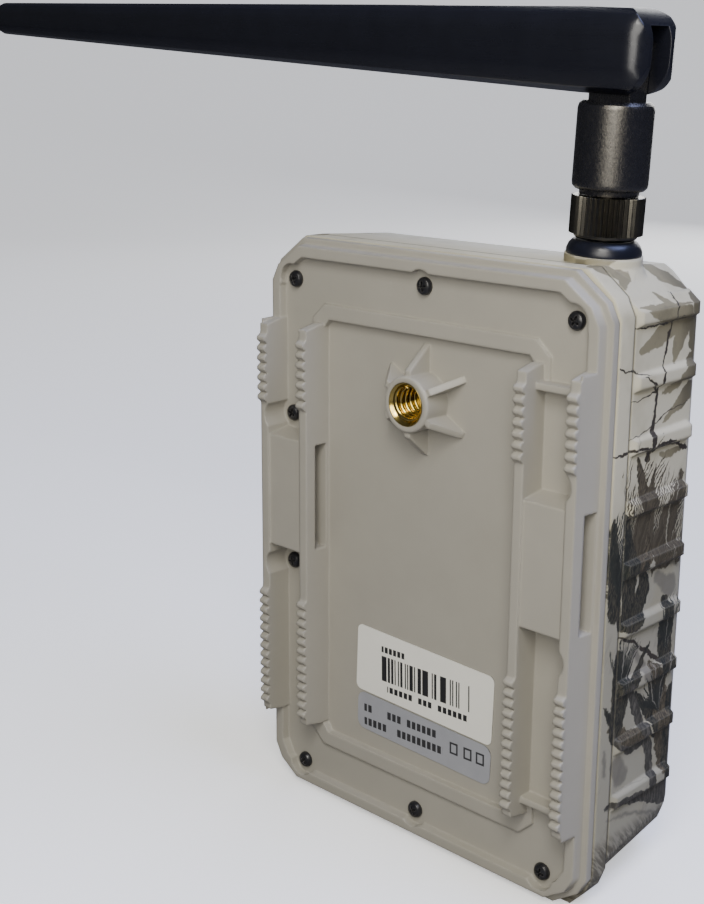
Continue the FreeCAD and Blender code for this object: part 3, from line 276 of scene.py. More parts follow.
def sleeve_black():
    """Rubbed matt sleeve: a coarse speckle that breaks up its highlight."""
    g = Graph("sleeve_black")
    place = g.coordinates()
    x, y, z = g.split(place)
    pits = g.noise(g.join(x, y, z * 0.45), 0.33, 3.0, 0.75)
    fine = g.noise(place, 0.12, 2.0, 0.6)
    base = g.mix(g.ramp(pits, 0.55, 0.75), ANTENNA_BLACK, (0.022, 0.022, 0.022))
    rough = 0.27 + (pits - 0.5) * 0.3
    relief = g.bump(pits + fine * 0.3, 0.06)
    return g.surface(Base_Color=base, Roughness=rough, Normal=relief, Specular_IOR_Level=1.0,
                     Specular_Tint=(1.0, 0.93, 0.8), Coat_Weight=0.35, Coat_Roughness=0.26)


def gloss_black(name, roughness):
    """Glossy black moulding or plating with smears and rubbed edges."""
    g = Graph(name)
    place = g.coordinates()
    smear = g.noise(place, 2.2, 4.0, 0.65)
    fine = g.noise(place, 0.4, 2.0, 0.5)
    base = g.mix(smear, (0.006, 0.006, 0.008), (0.014, 0.014, 0.016))
    lighter_edge = g.edges(0.25)
    base = g.mix(lighter_edge * 0.5, base, (0.10, 0.095, 0.085))
    return g.surface(Base_Color=base, Roughness=roughness + (smear - 0.5) * 0.18,
                     Normal=g.bump(fine, 0.006), Specular_IOR_Level=0.7)


def rubber(name, colour=(0.012, 0.012, 0.015), roughness=0.46):
    """Soft rubber with a dusty bloom."""
    g = Graph(name)
    place = g.coordinates()
    bloom = g.noise(place, 2.5, 4.0, 0.7)
    fine = g.noise(place, 0.15, 2.0, 0.6)
    base = g.mix(g.ramp(bloom, 0.5, 0.8), colour, tint(colour, 2.6))
    return g.surface(Base_Color=base, Roughness=roughness + (bloom - 0.5) * 0.2,
                     Normal=g.bump(fine, 0.012), Sheen_Weight=0.04, Sheen_Roughness=0.4)


# --- camouflage print ----------------------------------------------------------------------------

CREAM = shade(196, 190, 166)
CREAM_LOW = shade(154, 150, 133)
LEAF = shade(124, 117, 92)
LEAF_DARK = shade(80, 74, 56)
TWIG = shade(66, 60, 52)
BROWN = shade(84, 77, 62)
BROWN_DARK = shade(56, 51, 39)
PINE = shade(50, 52, 44)
PINE_DARK = shade(31, 33, 29)
GREY = shade(112, 108, 98)
BARK = shade(58, 56, 50)

# the seam's depth, half the case's width, and the heights where leaves give way to needles
PARTING_LINE_MM = 9.3
HALF_WIDTH_MM = 40.0
LEAVES_FROM_MM = 84.0
NEEDLES_TO_MM = 58.0


def scatter(g, u, v, pitch, seed, lean, spread):
    """Random cells of about one pitch: coordinates along and across a randomly turned motif."""
    point = g.join(u + seed * 13.7, v + seed * 29.3)
    cell = g.node("ShaderNodeTexVoronoi", {"voronoi_dimensions": "2D", "feature": "F1"},
                  Vector=point, Scale=1 / pitch, Randomness=0.85)
    centre = g.split(g.field(cell, "Position"))
    chance = g.split(g.field(cell, "Color"))
    px, py, _ = g.split(point)
    dx = px - centre[0]
    dy = py - centre[1]
    turn = (chance[0] - 0.5) * spread + lean
    cosine = turn.function("COSINE")
    sine = turn.function("SINE")
    return dx * cosine + dy * sine, dy * cosine - dx * sine, chance


def oak_leaf(g, a, b, length, width):
    """A lobed leaf lying along a, with its midrib and side veins."""
    t = a / length + 0.5
    arch = (t * math.pi).function("SINE").function("MAXIMUM", 0.0).function("POWER", 0.7)
    lobes = (t * 20.0 + 0.6).function("COSINE") * 0.27 + 0.73
    body = g.ramp(arch * lobes * width - abs(b), 0.0, 0.3)
    midrib = g.ramp(abs(b), 0.3, 0.12)
    vein = ((a - abs(b) * 0.9) * 2.4).function("SINE")
    return body, midrib + g.ramp(vein, 0.86, 1.0) * 0.5


def needle_fan(g, a, b, reach, count, width, half_angle=1.15, curl=0.018):
    """Needles that fan forward from a point: the mask and a random tone for each needle."""
    distance = (a * a + b * b).function("SQRT")
    angle = b.function("ARCTAN2", a)
    bent = angle + distance * curl
    index = (bent * count).function("FLOOR")
    tone = g.random(index + reach)
    across = abs((bent * count).function("FRACT") - 0.5) / count * distance
    length = reach * (tone * 0.45 + 0.55)
    tip = g.ramp(length - distance, 0.0, 1.5)
    needle = g.ramp(width * (tip * 0.6 + 0.4) - across, 0.0, 0.14)
    return needle * tip * (abs(angle) < half_angle), tone


def placed_fan(g, u, v, base, lean, reach, count, width, half_angle):
    """A needle fan growing from a chosen point; lean is its direction in degrees from upright."""
    dx = u - base[0]
    dy = v - base[1]
    cosine = math.cos(math.radians(lean))
    sine = math.sin(math.radians(lean))
    return needle_fan(g, dy * cosine + dx * sine, dx * cosine - dy * sine, reach, count, width,
                      half_angle, 0.03)


def bough(g, a, b, length, width):
    """A fir bough: a stem with needles slanting forward on both sides."""
    t = a / length + 0.5
    arch = (t * math.pi).function("SINE").function("MAXIMUM", 0.0).function("POWER", 0.6)
    slant = a - abs(b) * 1.25
    step = (slant / 0.85).function("FLOOR")
    tone = g.random(step + b.function("SIGN") * 31.0)
    across = abs((slant / 0.85).function("FRACT") - 0.5) * 0.85
    reach = arch * width * (tone * 0.4 + 0.6) - abs(b)
    needle = g.ramp(0.3 - across, 0.0, 0.14) * g.ramp(reach, 0.0, 0.6)
    stem = g.ramp(arch * 0.45 - abs(b), 0.0, 0.15)
    return needle.function("MAXIMUM", stem), tone


def strand(g, u, v, pitch, width, wander, seed, keep):
    """Long wandering lines across v: twigs and branches."""
    drift = g.noise(g.join(u * 0.25 + seed, v), 17.0, 2.0, 0.5, "2D")
    path = (u + (drift - 0.5) * wander + seed * 5.1) / pitch
    across = abs(path.function("FRACT") - 0.5) * pitch
    gate = g.random(path.function("FLOOR") + (v / 43.0 + seed).function("FLOOR") * 7.0)
    uneven = g.noise(g.join(u + seed, v), 3.0, 2.0, 0.6, "2D")
    return g.ramp(width * (uneven * 0.8 + 0.6) - across, 0.0, 0.16) * (gate < keep)


# Strokes of the print on the antenna's side, as (depth, height, half width) points in millimetres.
LEAF_STROKES = (
    ((-5.5, 106.2, 2.0), (2.6, 107.6, 1.7), (7.6, 108.9, 0.4)),
    ((-5.8, 105.2, 1.7), (2.2, 103.0, 1.9), (7.0, 101.3, 0.7)),
    ((-6.6, 104.6, 1.9), (-4.6, 101.4, 1.9), (-3.4, 98.8, 0.8)),
    ((-9.6, 108.4, 2.6), (-10.2, 101.2, 2.4)),
    ((-2.0, 106.0, 1.6), (1.5, 112.5, 0.5)),
    ((-0.3, 93.0, 0.3), (-5.0, 94.4, 1.2), (-9.6, 97.2, 2.2)),
    ((-1.2, 88.0, 0.3), (-6.5, 90.8, 1.5), (-9.6, 92.6, 1.9)),
    ((-1.1, 82.4, 0.5), (-4.5, 82.0, 0.9), (-9.1, 82.6, 0.4)),
    ((10.0, 122.0, 2.4), (6.0, 118.0, 1.8), (9.0, 114.5, 0.7)),
    ((-3.0, 122.0, 1.2), (-6.0, 117.0, 2.6), (-9.5, 113.0, 1.2)),
)
TWIG_STROKES = (
    ((-3.4, 112.0, 0.25), (-2.3, 106.0, 0.3), (-1.0, 102.0, 0.4), (-0.1, 98.4, 0.34),
     (1.2, 94.0, 0.42), (1.8, 90.4, 0.5), (2.4, 86.1, 0.6), (3.1, 82.8, 0.9)),
    ((12.8, 99.2, 0.25), (9.6, 98.4, 0.24), (5.0, 96.6, 0.26), (1.7, 94.1, 0.34)),
    ((9.3, 92.9, 0.14), (1.7, 93.9, 0.24)),
    ((9.4, 86.5, 0.16), (3.5, 87.5, 0.22), (-2.4, 89.7, 0.18), (-9.2, 90.6, 0.14)),
    ((13.0, 84.5, 0.3), (6.8, 84.9, 0.32), (2.1, 83.7, 0.5), (-1.4, 84.6, 0.6),
     (-5.7, 83.9, 0.55), (-9.4, 81.9, 0.5)),
    ((9.0, 105.4, 0.2), (1.0, 105.3, 0.26), (-6.0, 106.2, 0.3)),
    ((9.2, 51.5, 0.3), (4.9, 49.9, 0.4), (-0.7, 45.8, 0.5), (-9.4, 40.6, 0.7)),
)
BROWN_STROKES = (
    ((4.6, 64.5, 2.6), (2.8, 74.0, 2.2), (6.0, 82.5, 0.9)),
    ((2.4, 66.0, 2.6), (1.6, 75.0, 1.6), (0.4, 81.0, 0.4)),
    ((-3.0, 64.5, 3.2), (-5.5, 72.0, 2.4), (-8.6, 77.5, 1.0)),
    ((-5.0, 62.5, 1.8), (-9.2, 63.5, 1.6)),
    ((-1.5, 43.5, 1.0), (-4.5, 39.0, 2.6), (-6.6, 31.0, 2.8), (-7.6, 21.5, 1.4)),
    ((9.6, 34.5, 1.4), (5.6, 31.5, 1.6), (0.5, 30.6, 1.6)),
)
PINE_STROKES = (
    ((10.8, 56.5, 1.7), (12.0, 66.0, 1.7), (12.4, 73.5, 0.7)),
    ((6.6, 55.5, 2.0), (6.6, 64.0, 1.9), (8.6, 73.0, 0.8)),
    ((9.0, 54.2, 1.3), (4.6, 53.6, 1.9), (1.9, 58.6, 1.7), (2.8, 63.6, 0.9)),
    ((-6.8, 41.0, 1.8), (-6.3, 48.5, 2.2), (-5.2, 54.6, 1.2)),
    ((8.6, 33.5, 1.8), (7.6, 40.0, 2.5), (8.8, 48.0, 1.2)),
    ((5.0, 41.0, 1.4), (1.6, 44.5, 0.9), (-1.0, 48.0, 0.5)),
    ((-9.4, 36.0, 1.3), (-9.2, 18.5, 1.5)),
    ((2.4, 39.0, 0.9), (-2.6, 33.0, 1.3), (-4.4, 28.5, 0.7)),
    ((12.8, 39.8, 0.4), (10.4, 36.6, 1.1)),
)
BRANCH_STROKES = (
    ((4.9, 41.4, 0.9), (2.6, 36.4, 1.2), (0.2, 32.2, 1.2), (-3.0, 26.4, 1.4), (-3.8, 19.4, 1.3)),
    ((9.4, 34.6, 0.5), (7.6, 30.4, 0.7), (3.2, 28.2, 0.8), (-1.4, 28.6, 0.7)),
    ((10.2, 19.4, 0.7), (4.7, 19.0, 1.1), (-0.8, 18.0, 1.4), (-9.4, 15.4, 2.5)),
)
GREY_STROKES = (
    ((-2.6, 59.6, 1.5), (-6.9, 57.0, 2.4)),
    ((-0.5, 63.6, 0.6), (-8.8, 60.6, 0.9)),
    ((3.6, 47.6, 1.1), (-0.6, 41.5, 1.6)),
    ((7.6, 26.6, 2.4), (6.0, 24.4, 2.5)),
    ((11.8, 31.0, 0.8), (11.4, 26.4, 1.0)),
    ((8.0, 22.0, 0.4), (-2.0, 21.0, 0.4)),
    ((10.0, 16.8, 0.5), (2.9, 15.8, 0.8), (-3.9, 13.2, 0.7), (-9.2, 10.9, 0.6)),
)
# base point, lean from upright, reach, needles per radian, half width of a needle, half angle
BROWN_FANS = (
    ((4.6, 62.5), -2.0, 26.0, 21.0, 0.24, 0.36), ((-0.5, 60.0), -15.0, 23.0, 20.0, 0.26, 0.44),
    ((-5.6, 62.0), -8.0, 18.5, 20.0, 0.22, 0.40), ((-8.5, 60.5), -22.0, 10.0, 20.0, 0.22, 0.9),
)
PINE_FANS = (
    ((9.4, 57.0), 6.0, 22.0, 20.0, 0.26, 0.32), ((7.0, 41.0), 0.0, 12.0, 17.0, 0.22, 0.6),
    ((-7.0, 44.0), 4.0, 13.0, 22.0, 0.22, 0.4), ((-5.6, 33.0), 24.0, 12.0, 15.0, 0.24, 0.75),
)


def printed_side(g, depth, height):
    """The composition on the sides: leaves and twigs above, needles and bark below."""
    seam_depth = depth
    low = g.ramp(height, LEAVES_FROM_MM, NEEDLES_TO_MM)
    blades = g.join(depth - height * 0.9, (height + depth) * 0.12)
    grass = g.ramp(g.noise(blades, 0.9, 3.0, 0.7, "2D"), 0.4, 0.62)
    ground = ground_print(g, depth, height, low)
    ground = g.mix(g.ramp(height, 14.5, 11.0) * 0.85, ground,
                   g.mix(grass, shade(82, 77, 66), shade(140, 136, 122)))
    warp = g.node("ShaderNodeTexNoise", {"noise_dimensions": "2D"}, Vector=g.join(depth, height),
                  Scale=1 / 2.4, Detail=3.0, Roughness=0.6)
    sway = g.split(g.field(warp, "Color"))
    depth = depth + (sway[0] - 0.5) * 1.6
    height = height + (sway[1] - 0.5) * 1.6
    point = g.join(depth, height)
    fibre = g.noise(g.join(depth * 1.6, height * 0.3), 0.8, 3.0, 0.65, "2D")
    blotch = g.noise(point, 3.2, 3.0, 0.6, "2D")
    body = g.mix(g.ramp(depth, -4.0, -9.0), LEAF, LEAF_DARK)
    body = g.mix(g.ramp(blotch, 0.5, 0.75) * 0.4, body, tint(LEAF_DARK, 1.2))
    colour = g.mix(g.strokes(point, LEAF_STROKES, 0.3) * 0.92, ground, body)
    colour = g.mix(g.strokes(point, TWIG_STROKES, 0.14), colour,
                   g.mix(fibre, TWIG, tint(TWIG, 0.55)))
    colour = g.mix(g.strokes(point, GREY_STROKES, 0.8) * 0.75, colour,
                   g.mix(blotch, GREY, tint(GREY, 0.7)))
    needles = g.noise(g.join(depth * 1.5 + height * 0.25, height * 0.22), 0.42, 3.0, 0.7, "2D")
    streak = g.ramp(needles, 0.42, 0.62)
    mass = g.strokes(point, BROWN_STROKES, 1.3, 1.25)
    body = g.mix(streak, BROWN_DARK, g.mix(blotch, BROWN, tint(BROWN, 1.7)))
    colour = g.mix(g.ramp(needles + mass, 0.74, 0.92), colour, body)
    for fan in BROWN_FANS:
        mask, tone = placed_fan(g, depth, height, *fan)
        body = g.mix(tone, BROWN_DARK, tint(BROWN, 1.15))
        colour = g.mix(mask, colour, g.mix(tone > 0.88, body, tint(CREAM, 0.5)))
    mass = g.strokes(point, PINE_STROKES, 1.1, 1.35)
    body = g.mix(streak, PINE_DARK, g.mix(blotch, tint(PINE, 1.2), tint(BROWN, 1.2)))
    colour = g.mix(g.ramp(needles + mass, 0.8, 0.98), colour, body)
    for fan in PINE_FANS:
        mask, tone = placed_fan(g, depth, height, *fan)
        body = g.mix(tone, PINE_DARK, tint(PINE, 1.1))
        colour = g.mix(mask, colour, g.mix(tone > 0.86, body, tint(GREY, 1.1)))
    body = g.mix(g.ramp(fibre, 0.42, 0.62), BARK, g.mix(blotch, tint(BARK, 0.45), GREY))
    colour = g.mix(g.strokes(point, BRANCH_STROKES, 0.25), colour, body)
    # a dark line along the parting line: painted shade in the seam between front housing and rear
    # frame
    return g.mix(g.ramp(abs(seam_depth - PARTING_LINE_MM), 0.3, 0.1) * 0.8, colour, tint(BARK, 0.5))


def printed(g, colour):
    """The printed plastic's surface over a pattern colour."""
    place = g.coordinates()
    # edges painted lighter: a painted highlight along the rounded edges of the print
    colour = g.mix(g.edges(0.5) * 0.16, colour, (0.6, 0.58, 0.5))
    fine = g.noise(place, 0.25, 2.0, 0.6)
    dust = g.noise(place, 2.0, 4.0, 0.7)
    return g.surface(Base_Color=colour, Roughness=0.5 + (dust - 0.5) * 0.16,
                     Normal=g.bump(fine, 0.014, normal=g.rounded(0.9)), Specular_IOR_Level=0.45)


def ground_print(g, u, v, low):
    """Cream ground with faint stains."""
    soft = g.noise(g.join(u, v), 13.0, 3.0, 0.55, "2D")
    streaky = g.noise(g.join(u + v * 0.6, (v - u * 0.6) * 0.22), 2.6, 4.0, 0.6, "2D")
    colour = g.mix(low, CREAM, CREAM_LOW)
    colour = g.mix(g.ramp(soft, 0.5, 0.7) * 0.3, colour, tint(LEAF, 1.5))
    return g.mix(g.ramp(streaky, 0.58, 0.78) * (low * 0.3 + 0.12), colour, GREY)


def camouflage_side():
    """The woodland print on both sides: one composition, mirrored."""
    g = Graph("camouflage_side")
    x, y, z = g.split(g.coordinates())
    nz = g.split(g.normal())[2]
    over = (HALF_WIDTH_MM - abs(x)) * nz.function("SIGN") * (abs(nz) > 0.35)
    return printed(g, printed_side(g, y, z + over))


# motifs scattered over the face: seed, pitch, length, width, share of cells kept
FACE_LEAVES = ((1.0, 17.0, 19.0, 4.6, 0.66), (7.0, 14.0, 15.0, 3.6, 0.5))
FACE_BOUGHS = ((23.0, 12.0, 17.0, 4.4, 0.75), (31.0, 15.0, 20.0, 4.8, 0.55))
# seed, pitch, reach, share of cells kept
FACE_FANS = ((11.0, 13.0, 11.0, 0.9), (17.0, 11.0, 9.0, 0.75))


def camouflage_face():
    """The woodland print on the face, with its motifs scattered."""
    g = Graph("camouflage_face")
    x, _, z = g.split(g.coordinates())
    u, v = x + 700.0, z
    low = g.ramp(v, LEAVES_FROM_MM, NEEDLES_TO_MM)
    colour = ground_print(g, u, v, low)
    for seed, pitch, length, width, keep in FACE_LEAVES:
        a, b, chance = scatter(g, u, v, pitch, seed, -0.5, 3.6)
        body, veins = oak_leaf(g, a, b, length, width)
        leaf = g.mix(chance[2], LEAF_DARK, LEAF)
        leaf = g.mix(g.ramp(b, -3.0, 3.0) * 0.35, leaf, tint(LEAF, 1.3))
        leaf = g.mix(veins * 0.55, leaf, tint(LEAF_DARK, 0.7))
        colour = g.mix(body * (chance[1] < (keep - low * 0.42)), colour, leaf)
    colour = g.mix(strand(g, u, v, 13.0, 0.34, 13.0, 1.0, 0.62), colour, TWIG)
    crossing = strand(g, v * 0.86 - u * 0.5, u * 0.86 + v * 0.5, 19.0, 0.3, 12.0, 2.0, 0.6)
    colour = g.mix(crossing, colour, TWIG)
    trunk = strand(g, u + v * 0.25, v, 21.0, 1.5, 17.0, 6.0, 0.75) * low
    grain = g.noise(g.join(u, v * 0.2), 0.7, 3.0, 0.7, "2D")
    colour = g.mix(trunk, colour, g.mix(g.ramp(grain, 0.45, 0.7), tint(BARK, 0.6), GREY))
    for seed, pitch, reach, keep in FACE_FANS:
        a, b, chance = scatter(g, u, v, pitch, seed, 1.4, 2.2)
        mask, tone = needle_fan(g, a + reach * 0.42, b, reach, 7.5, 0.32)
        body = g.mix(tone, BROWN_DARK, tint(BROWN, 1.1))
        body = g.mix(tone > 0.86, body, tint(CREAM, 0.6))
        colour = g.mix(mask * (chance[1] < low * keep), colour, body)
    for seed, pitch, length, width, keep in FACE_BOUGHS:
        a, b, chance = scatter(g, u, v, pitch, seed, 1.3, 2.4)
        mask, tone = bough(g, a, b, length, width)
        body = g.mix(tone, PINE_DARK, tint(PINE, 1.1))
        body = g.mix(tone > 0.8, body, GREY)
        colour = g.mix(mask * (chance[1] < low * keep), colour, body)
    return printed(g, colour)


# --- labels --------------------------------------------------------------------------------------


LABEL_TILT_DEGREES = -1.6


def label_plane(g, node):
    """Millimetres right and up from a label's centre, as read from behind the camera."""
    low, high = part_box(node)
    middle = (low + high) / 2 / MM
    x, _, z = g.split(g.coordinates())
    dx = middle.x - x
    dz = z - middle.z
    cosine = math.cos(math.radians(LABEL_TILT_DEGREES))
    sine = math.sin(math.radians(LABEL_TILT_DEGREES))
    return dx * cosine - dz * sine, dz * cosine + dx * sine


def within(g, value, low, high, soft=0.05):
    """1 between low and high, 0 outside."""
    return g.ramp(value, low - soft, low + soft) * g.ramp(value, high + soft, high - soft)


def dashes(g, right, up, span, height, line, pitch, seed):
    """A row of plain dashes that stands where small print would be."""
    step = (right / pitch).function("FLOOR")
    fill = g.random(step + seed)
    inside = abs((right / pitch).function("FRACT") - 0.5) < 0.36
    row = within(g, up, height - line, height + line)
    return inside * (fill < 0.86) * within(g, right, *span) * row


def code_label():
    """White film with a band of random bars and rows of plain dashes."""
    g = Graph("code_label")
    right, up = label_plane(g, "code_label")
    pitch = 0.3
    bar = g.random((right / pitch).function("FLOOR") + 900.0) < 0.56
    bars = bar * within(g, right, -10.6, 12.4) * within(g, up, -2.6, 2.6)
    upper = dashes(g, right, up, (-10.6, -4.6), 4.0, 0.62, 1.1, 5.0)
    lower = dashes(g, right, up, (-9.2, 11.4), -4.1, 0.62, 1.25, 60.0)
    print_mask = bars.function("MAXIMUM", upper).function("MAXIMUM", lower)
    place = g.coordinates()
    cloud = g.noise(place, 5.0, 3.0, 0.6)
    paper = g.mix(cloud, (0.80, 0.79, 0.72), (0.86, 0.85, 0.79))
    colour = g.mix(print_mask, paper, (0.015, 0.015, 0.016))
    fibre = g.noise(place, 0.3, 3.0, 0.6)
    return g.surface(Base_Color=colour, Roughness=0.42 + print_mask * -0.08,
                     Normal=g.bump(fibre, 0.006))


def rating_label():
    """Silver film with two rows of plain dashes and three blank marks."""
    g = Graph("rating_label")
    right, up = label_plane(g, "rating_label")
    marks = dashes(g, right, up, (-15.2, 4.2), 1.55, 0.78, 1.3, 200.0)
    marks = marks.function("MAXIMUM", dashes(g, right, up, (-15.2, 5.4), -1.35, 0.78, 1.3, 300.0))
    for middle in (8.2, 11.6, 14.6):
        spot = within(g, right, middle - 1.0, middle + 1.0) * within(g, up, -1.2, 1.2)
        hollow = within(g, right, middle - 0.6, middle + 0.6) * within(g, up, -0.8, 0.8)
        marks = marks.function("MAXIMUM", spot - hollow)
    place = g.coordinates()
    cloud = g.noise(place, 4.0, 3.0, 0.6)
    film = g.mix(cloud, (0.40, 0.41, 0.44), (0.50, 0.51, 0.54))
    colour = g.mix(marks, film, (0.03, 0.03, 0.032))
    return g.surface(Base_Color=colour, Metallic=(1.0 - marks) * 0.35, Roughness=0.38,
                     Normal=g.bump(g.noise(place, 0.5, 2.0, 0.5), 0.004))


# --- metals, glass and electronics ---------------------------------------------------------------


def metal(name, colour, roughness, tarnish=0.25):
    """Metal with cloudy tarnish and a fine grain."""
    g = Graph(name)
    place = g.coordinates()
    cloud = g.noise(place, 1.4, 4.0, 0.65)
    fine = g.noise(place, 0.35, 3.0, 0.6)
    base = g.mix(g.ramp(cloud, 0.4, 0.75) * tarnish, colour, tint(colour, 0.45))
    return g.surface(Base_Color=base, Metallic=1.0, Roughness=roughness + (cloud - 0.5) * 0.15,
                     Normal=g.bump(fine, 0.004))


def glass(name, colour, roughness, weight, film=(0.5, 0.4, 0.9)):
    """Clear or coated glass with a faint smear and a coloured coating reflection."""
    g = Graph(name)
    place = g.coordinates()
    smear = g.noise(place, 3.0, 4.0, 0.6)
    facing = g.node("ShaderNodeLayerWeight", Blend=0.35)
    base = g.mix(g.field(facing, "Facing"), colour, film)
    return g.surface(Base_Color=base, Roughness=roughness + g.ramp(smear, 0.5, 0.8) * 0.05,
                     Transmission_Weight=weight, IOR=1.5, Coat_Weight=0.4, Coat_Tint=film)


def infrared_window():
    """Dark acrylic that only passes infrared."""
    g = Graph("infrared_window")
    place = g.coordinates()
    smear = g.noise(place, 6.0, 4.0, 0.6)
    base = g.mix(smear, (0.008, 0.003, 0.005), (0.016, 0.006, 0.008))
    return g.surface(Base_Color=base, Roughness=0.08 + g.ramp(smear, 0.55, 0.8) * 0.08,
                     Specular_IOR_Level=0.7, Coat_Weight=0.5, Coat_Roughness=0.04)


def fresnel_window():
    """Milky polyethylene with ring grooves."""
    g = Graph("fresnel_window")
    low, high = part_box("pir_lens")
    middle = (low + high) / 2 / MM
    place = g.coordinates()
    x, _, z = g.split(place)
    dx = x - middle.x
    dz = z - middle.z
    radius = (dx * dx + dz * dz).function("SQRT")
    groove = (radius / 0.55).function("FRACT")
    cloud = g.noise(place, 3.0, 3.0, 0.6)
    base = g.mix(cloud, (0.66, 0.66, 0.62), (0.74, 0.74, 0.7))
    # each groove's step painted darker: painted shade in the grooves
    base = g.mix(g.ramp(groove, 0.85, 1.0) * 0.35, base, (0.45, 0.45, 0.42))
    return g.surface(Base_Color=base, Roughness=0.38,
                     Subsurface_Weight=0.35, Subsurface_Scale=0.002,
                     Normal=g.bump(groove, 0.12))


def circuit_board():
    """Green solder mask with copper tracks and pads."""
    g = Graph("board_green")
    mask = (0.012, 0.075, 0.035)
    place = g.coordinates()
    x, _, z = g.split(place)
    edge_distance = {"voronoi_dimensions": "2D", "feature": "DISTANCE_TO_EDGE"}
    cell = g.node("ShaderNodeTexVoronoi", edge_distance, Vector=g.join(x, z),
                  Scale=0.45, Randomness=0.3)
    track = g.ramp(g.field(cell, "Distance"), 0.09, 0.05)
    pads = g.node("ShaderNodeTexVoronoi", {"voronoi_dimensions": "2D"},
                  Vector=g.join(x, z), Scale=0.6)
    pad = g.ramp(g.field(pads, "Distance"), 0.2, 0.14)
    cloud = g.noise(place, 4.0, 3.0, 0.6)
    base = g.mix(cloud, mask, tint(mask, 1.3))
    base = g.mix(track * 0.7, base, tint(mask, 2.2))
    base = g.mix(pad, base, (0.6, 0.5, 0.25))
    return g.surface(Base_Color=base, Metallic=pad * 0.8, Roughness=0.35,
                     Normal=g.bump(track + pad, 0.03))


def cell_wrap():
    """Battery sleeve: dark body with a plain copper band and steel ends."""
    g = Graph("cell_wrap")
    place = g.coordinates()
    height = g.split(place)[2]
    end = abs(g.split(g.normal())[2]) > 0.7
    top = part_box("battery_cells")[1].z / MM
    band = within(g, height, top - 16.0, top - 1.5, 0.1)
    smear = g.noise(place, 3.0, 3.0, 0.6)
    base = g.mix(smear, (0.012, 0.013, 0.016), (0.02, 0.021, 0.025))
    base = g.mix(band, base, (0.45, 0.2, 0.06))
    base = g.mix(end, base, (0.6, 0.6, 0.6))
    return g.surface(Base_Color=base, Metallic=band * 0.7 + end * 0.3,
                     Roughness=0.24 + smear * 0.1,
                     Normal=g.bump(g.noise(place, 0.6, 2.0, 0.5), 0.008))


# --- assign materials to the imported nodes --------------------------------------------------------

cover_plastic = moulded("cover_plastic", COVER_GREY, 0.42, relief=0.016, radius=0.65)
camo = camouflage_side()
camo_face = camouflage_face()
brass = metal("brass_thread", (0.66, 0.50, 0.15), 0.2, tarnish=0.55)
board_green = circuit_board()
steel = metal("plated_steel", (0.55, 0.55, 0.56), 0.3)
tin = metal("tinned_can", (0.66, 0.66, 0.65), 0.36, tarnish=0.15)
black_metal = gloss_black("black_zinc", 0.3)
bezel_black = gloss_black("bezel_black", 0.26)
chip = moulded("chip_black", (0.012, 0.012, 0.013), 0.5, 0.12, 0.008)
seal_rubber = rubber("seal_rubber")
light_grey = moulded("light_grey_plastic", (0.42, 0.41, 0.38), 0.45)
key_white = moulded("key_white", (0.6, 0.6, 0.58), 0.4)
clear = glass("clear_pipe", (0.85, 0.85, 0.82), 0.1, 0.7, (0.9, 0.9, 0.95))
coated = glass("coated_glass", (0.3, 0.25, 0.45), 0.03, 0.8)

FINISHES = {
    "rear_cover": cover_plastic,
    "rear_frame": camo,
    "front_housing": camo,
    "bottom_door": camo,
    "cover_gasket": seal_rubber,
    "frame_gasket": seal_rubber,
    "door_seal": seal_rubber,
    "antenna_boot": rubber("boot_rubber", (0.005, 0.006, 0.012), 0.32),
    "tripod_insert": brass,
    "antenna_jack": brass,
    "jack_nut": brass,
    "antenna_contact": brass,
    "case_screws": black_metal,
    "code_label": code_label(),
    "rating_label": rating_label(),
    "lens_bezel": bezel_black,
    "lens_barrel": bezel_black,
    "door_latch": bezel_black,
    "lens_window": glass("lens_window", (0.9, 0.92, 0.95), 0.02, 0.95),
    "lens_elements": coated,
    "ir_cut_filter": coated,
    "ir_window": infrared_window(),
    "pir_lens": fresnel_window(),
    "light_sensor_window": clear,
    "status_light": clear,
    "ir_leds": clear,
    "lens_holder": chip,
    "image_sensor": chip,
    "memory_card": chip,
    "mode_switch": chip,
    "sensor_board": board_green,
    "ir_led_board": board_green,
    "main_board": board_green,
    "control_board": board_green,
    "antenna_radiator": board_green,
    "pir_sensor": tin,
    "microphone": tin,
    "modem_module": tin,
    "board_screws": steel,
    "card_socket": steel,
    "sim_socket": steel,
    "usb_port": steel,
    "mode_switch_base": steel,
    "test_key_base": steel,
    "battery_contacts": steel,
    "antenna_hinge_pin": steel,
    "door_hinge_pin": steel,
    "control_panel": light_grey,
    "battery_cassette": light_grey,
    "sim_card": key_white,
    "test_key": key_white,
    "ribbon_cable": key_white,
    "battery_cells": cell_wrap(),
    "coax_pigtail": rubber("coax_jacket"),
    "coupling_nut": metal("knurl_black", (0.16, 0.15, 0.125), 0.2, tarnish=0.7),
    "antenna_base": sleeve_black(),
    "antenna_blade": antenna_black(),
}

# widths of the rounded edges of moulded and turned pieces
EDGES_MM = {
    "rear_cover": 0.3, "front_housing": 0.5, "rear_frame": 0.35, "bottom_door": 0.25,
    "lens_bezel": 0.3, "antenna_blade": 1.1, "antenna_base": 0.3, "antenna_boot": 0.2,
    "coupling_nut": 0.06, "case_screws": 0.08, "door_latch": 0.15, "battery_cassette": 0.2,
    "control_panel": 0.15, "ir_window": 0.2, "memory_card": 0.15, "tripod_insert": 0.1,
    "modem_module": 0.2,
}
WELD_DISTANCE_MM = 0.002
FLAT_ANGLE = math.radians(0.4)
BEVEL_ANGLE = math.radians(28)
FACE_NORMAL_Y = -0.78


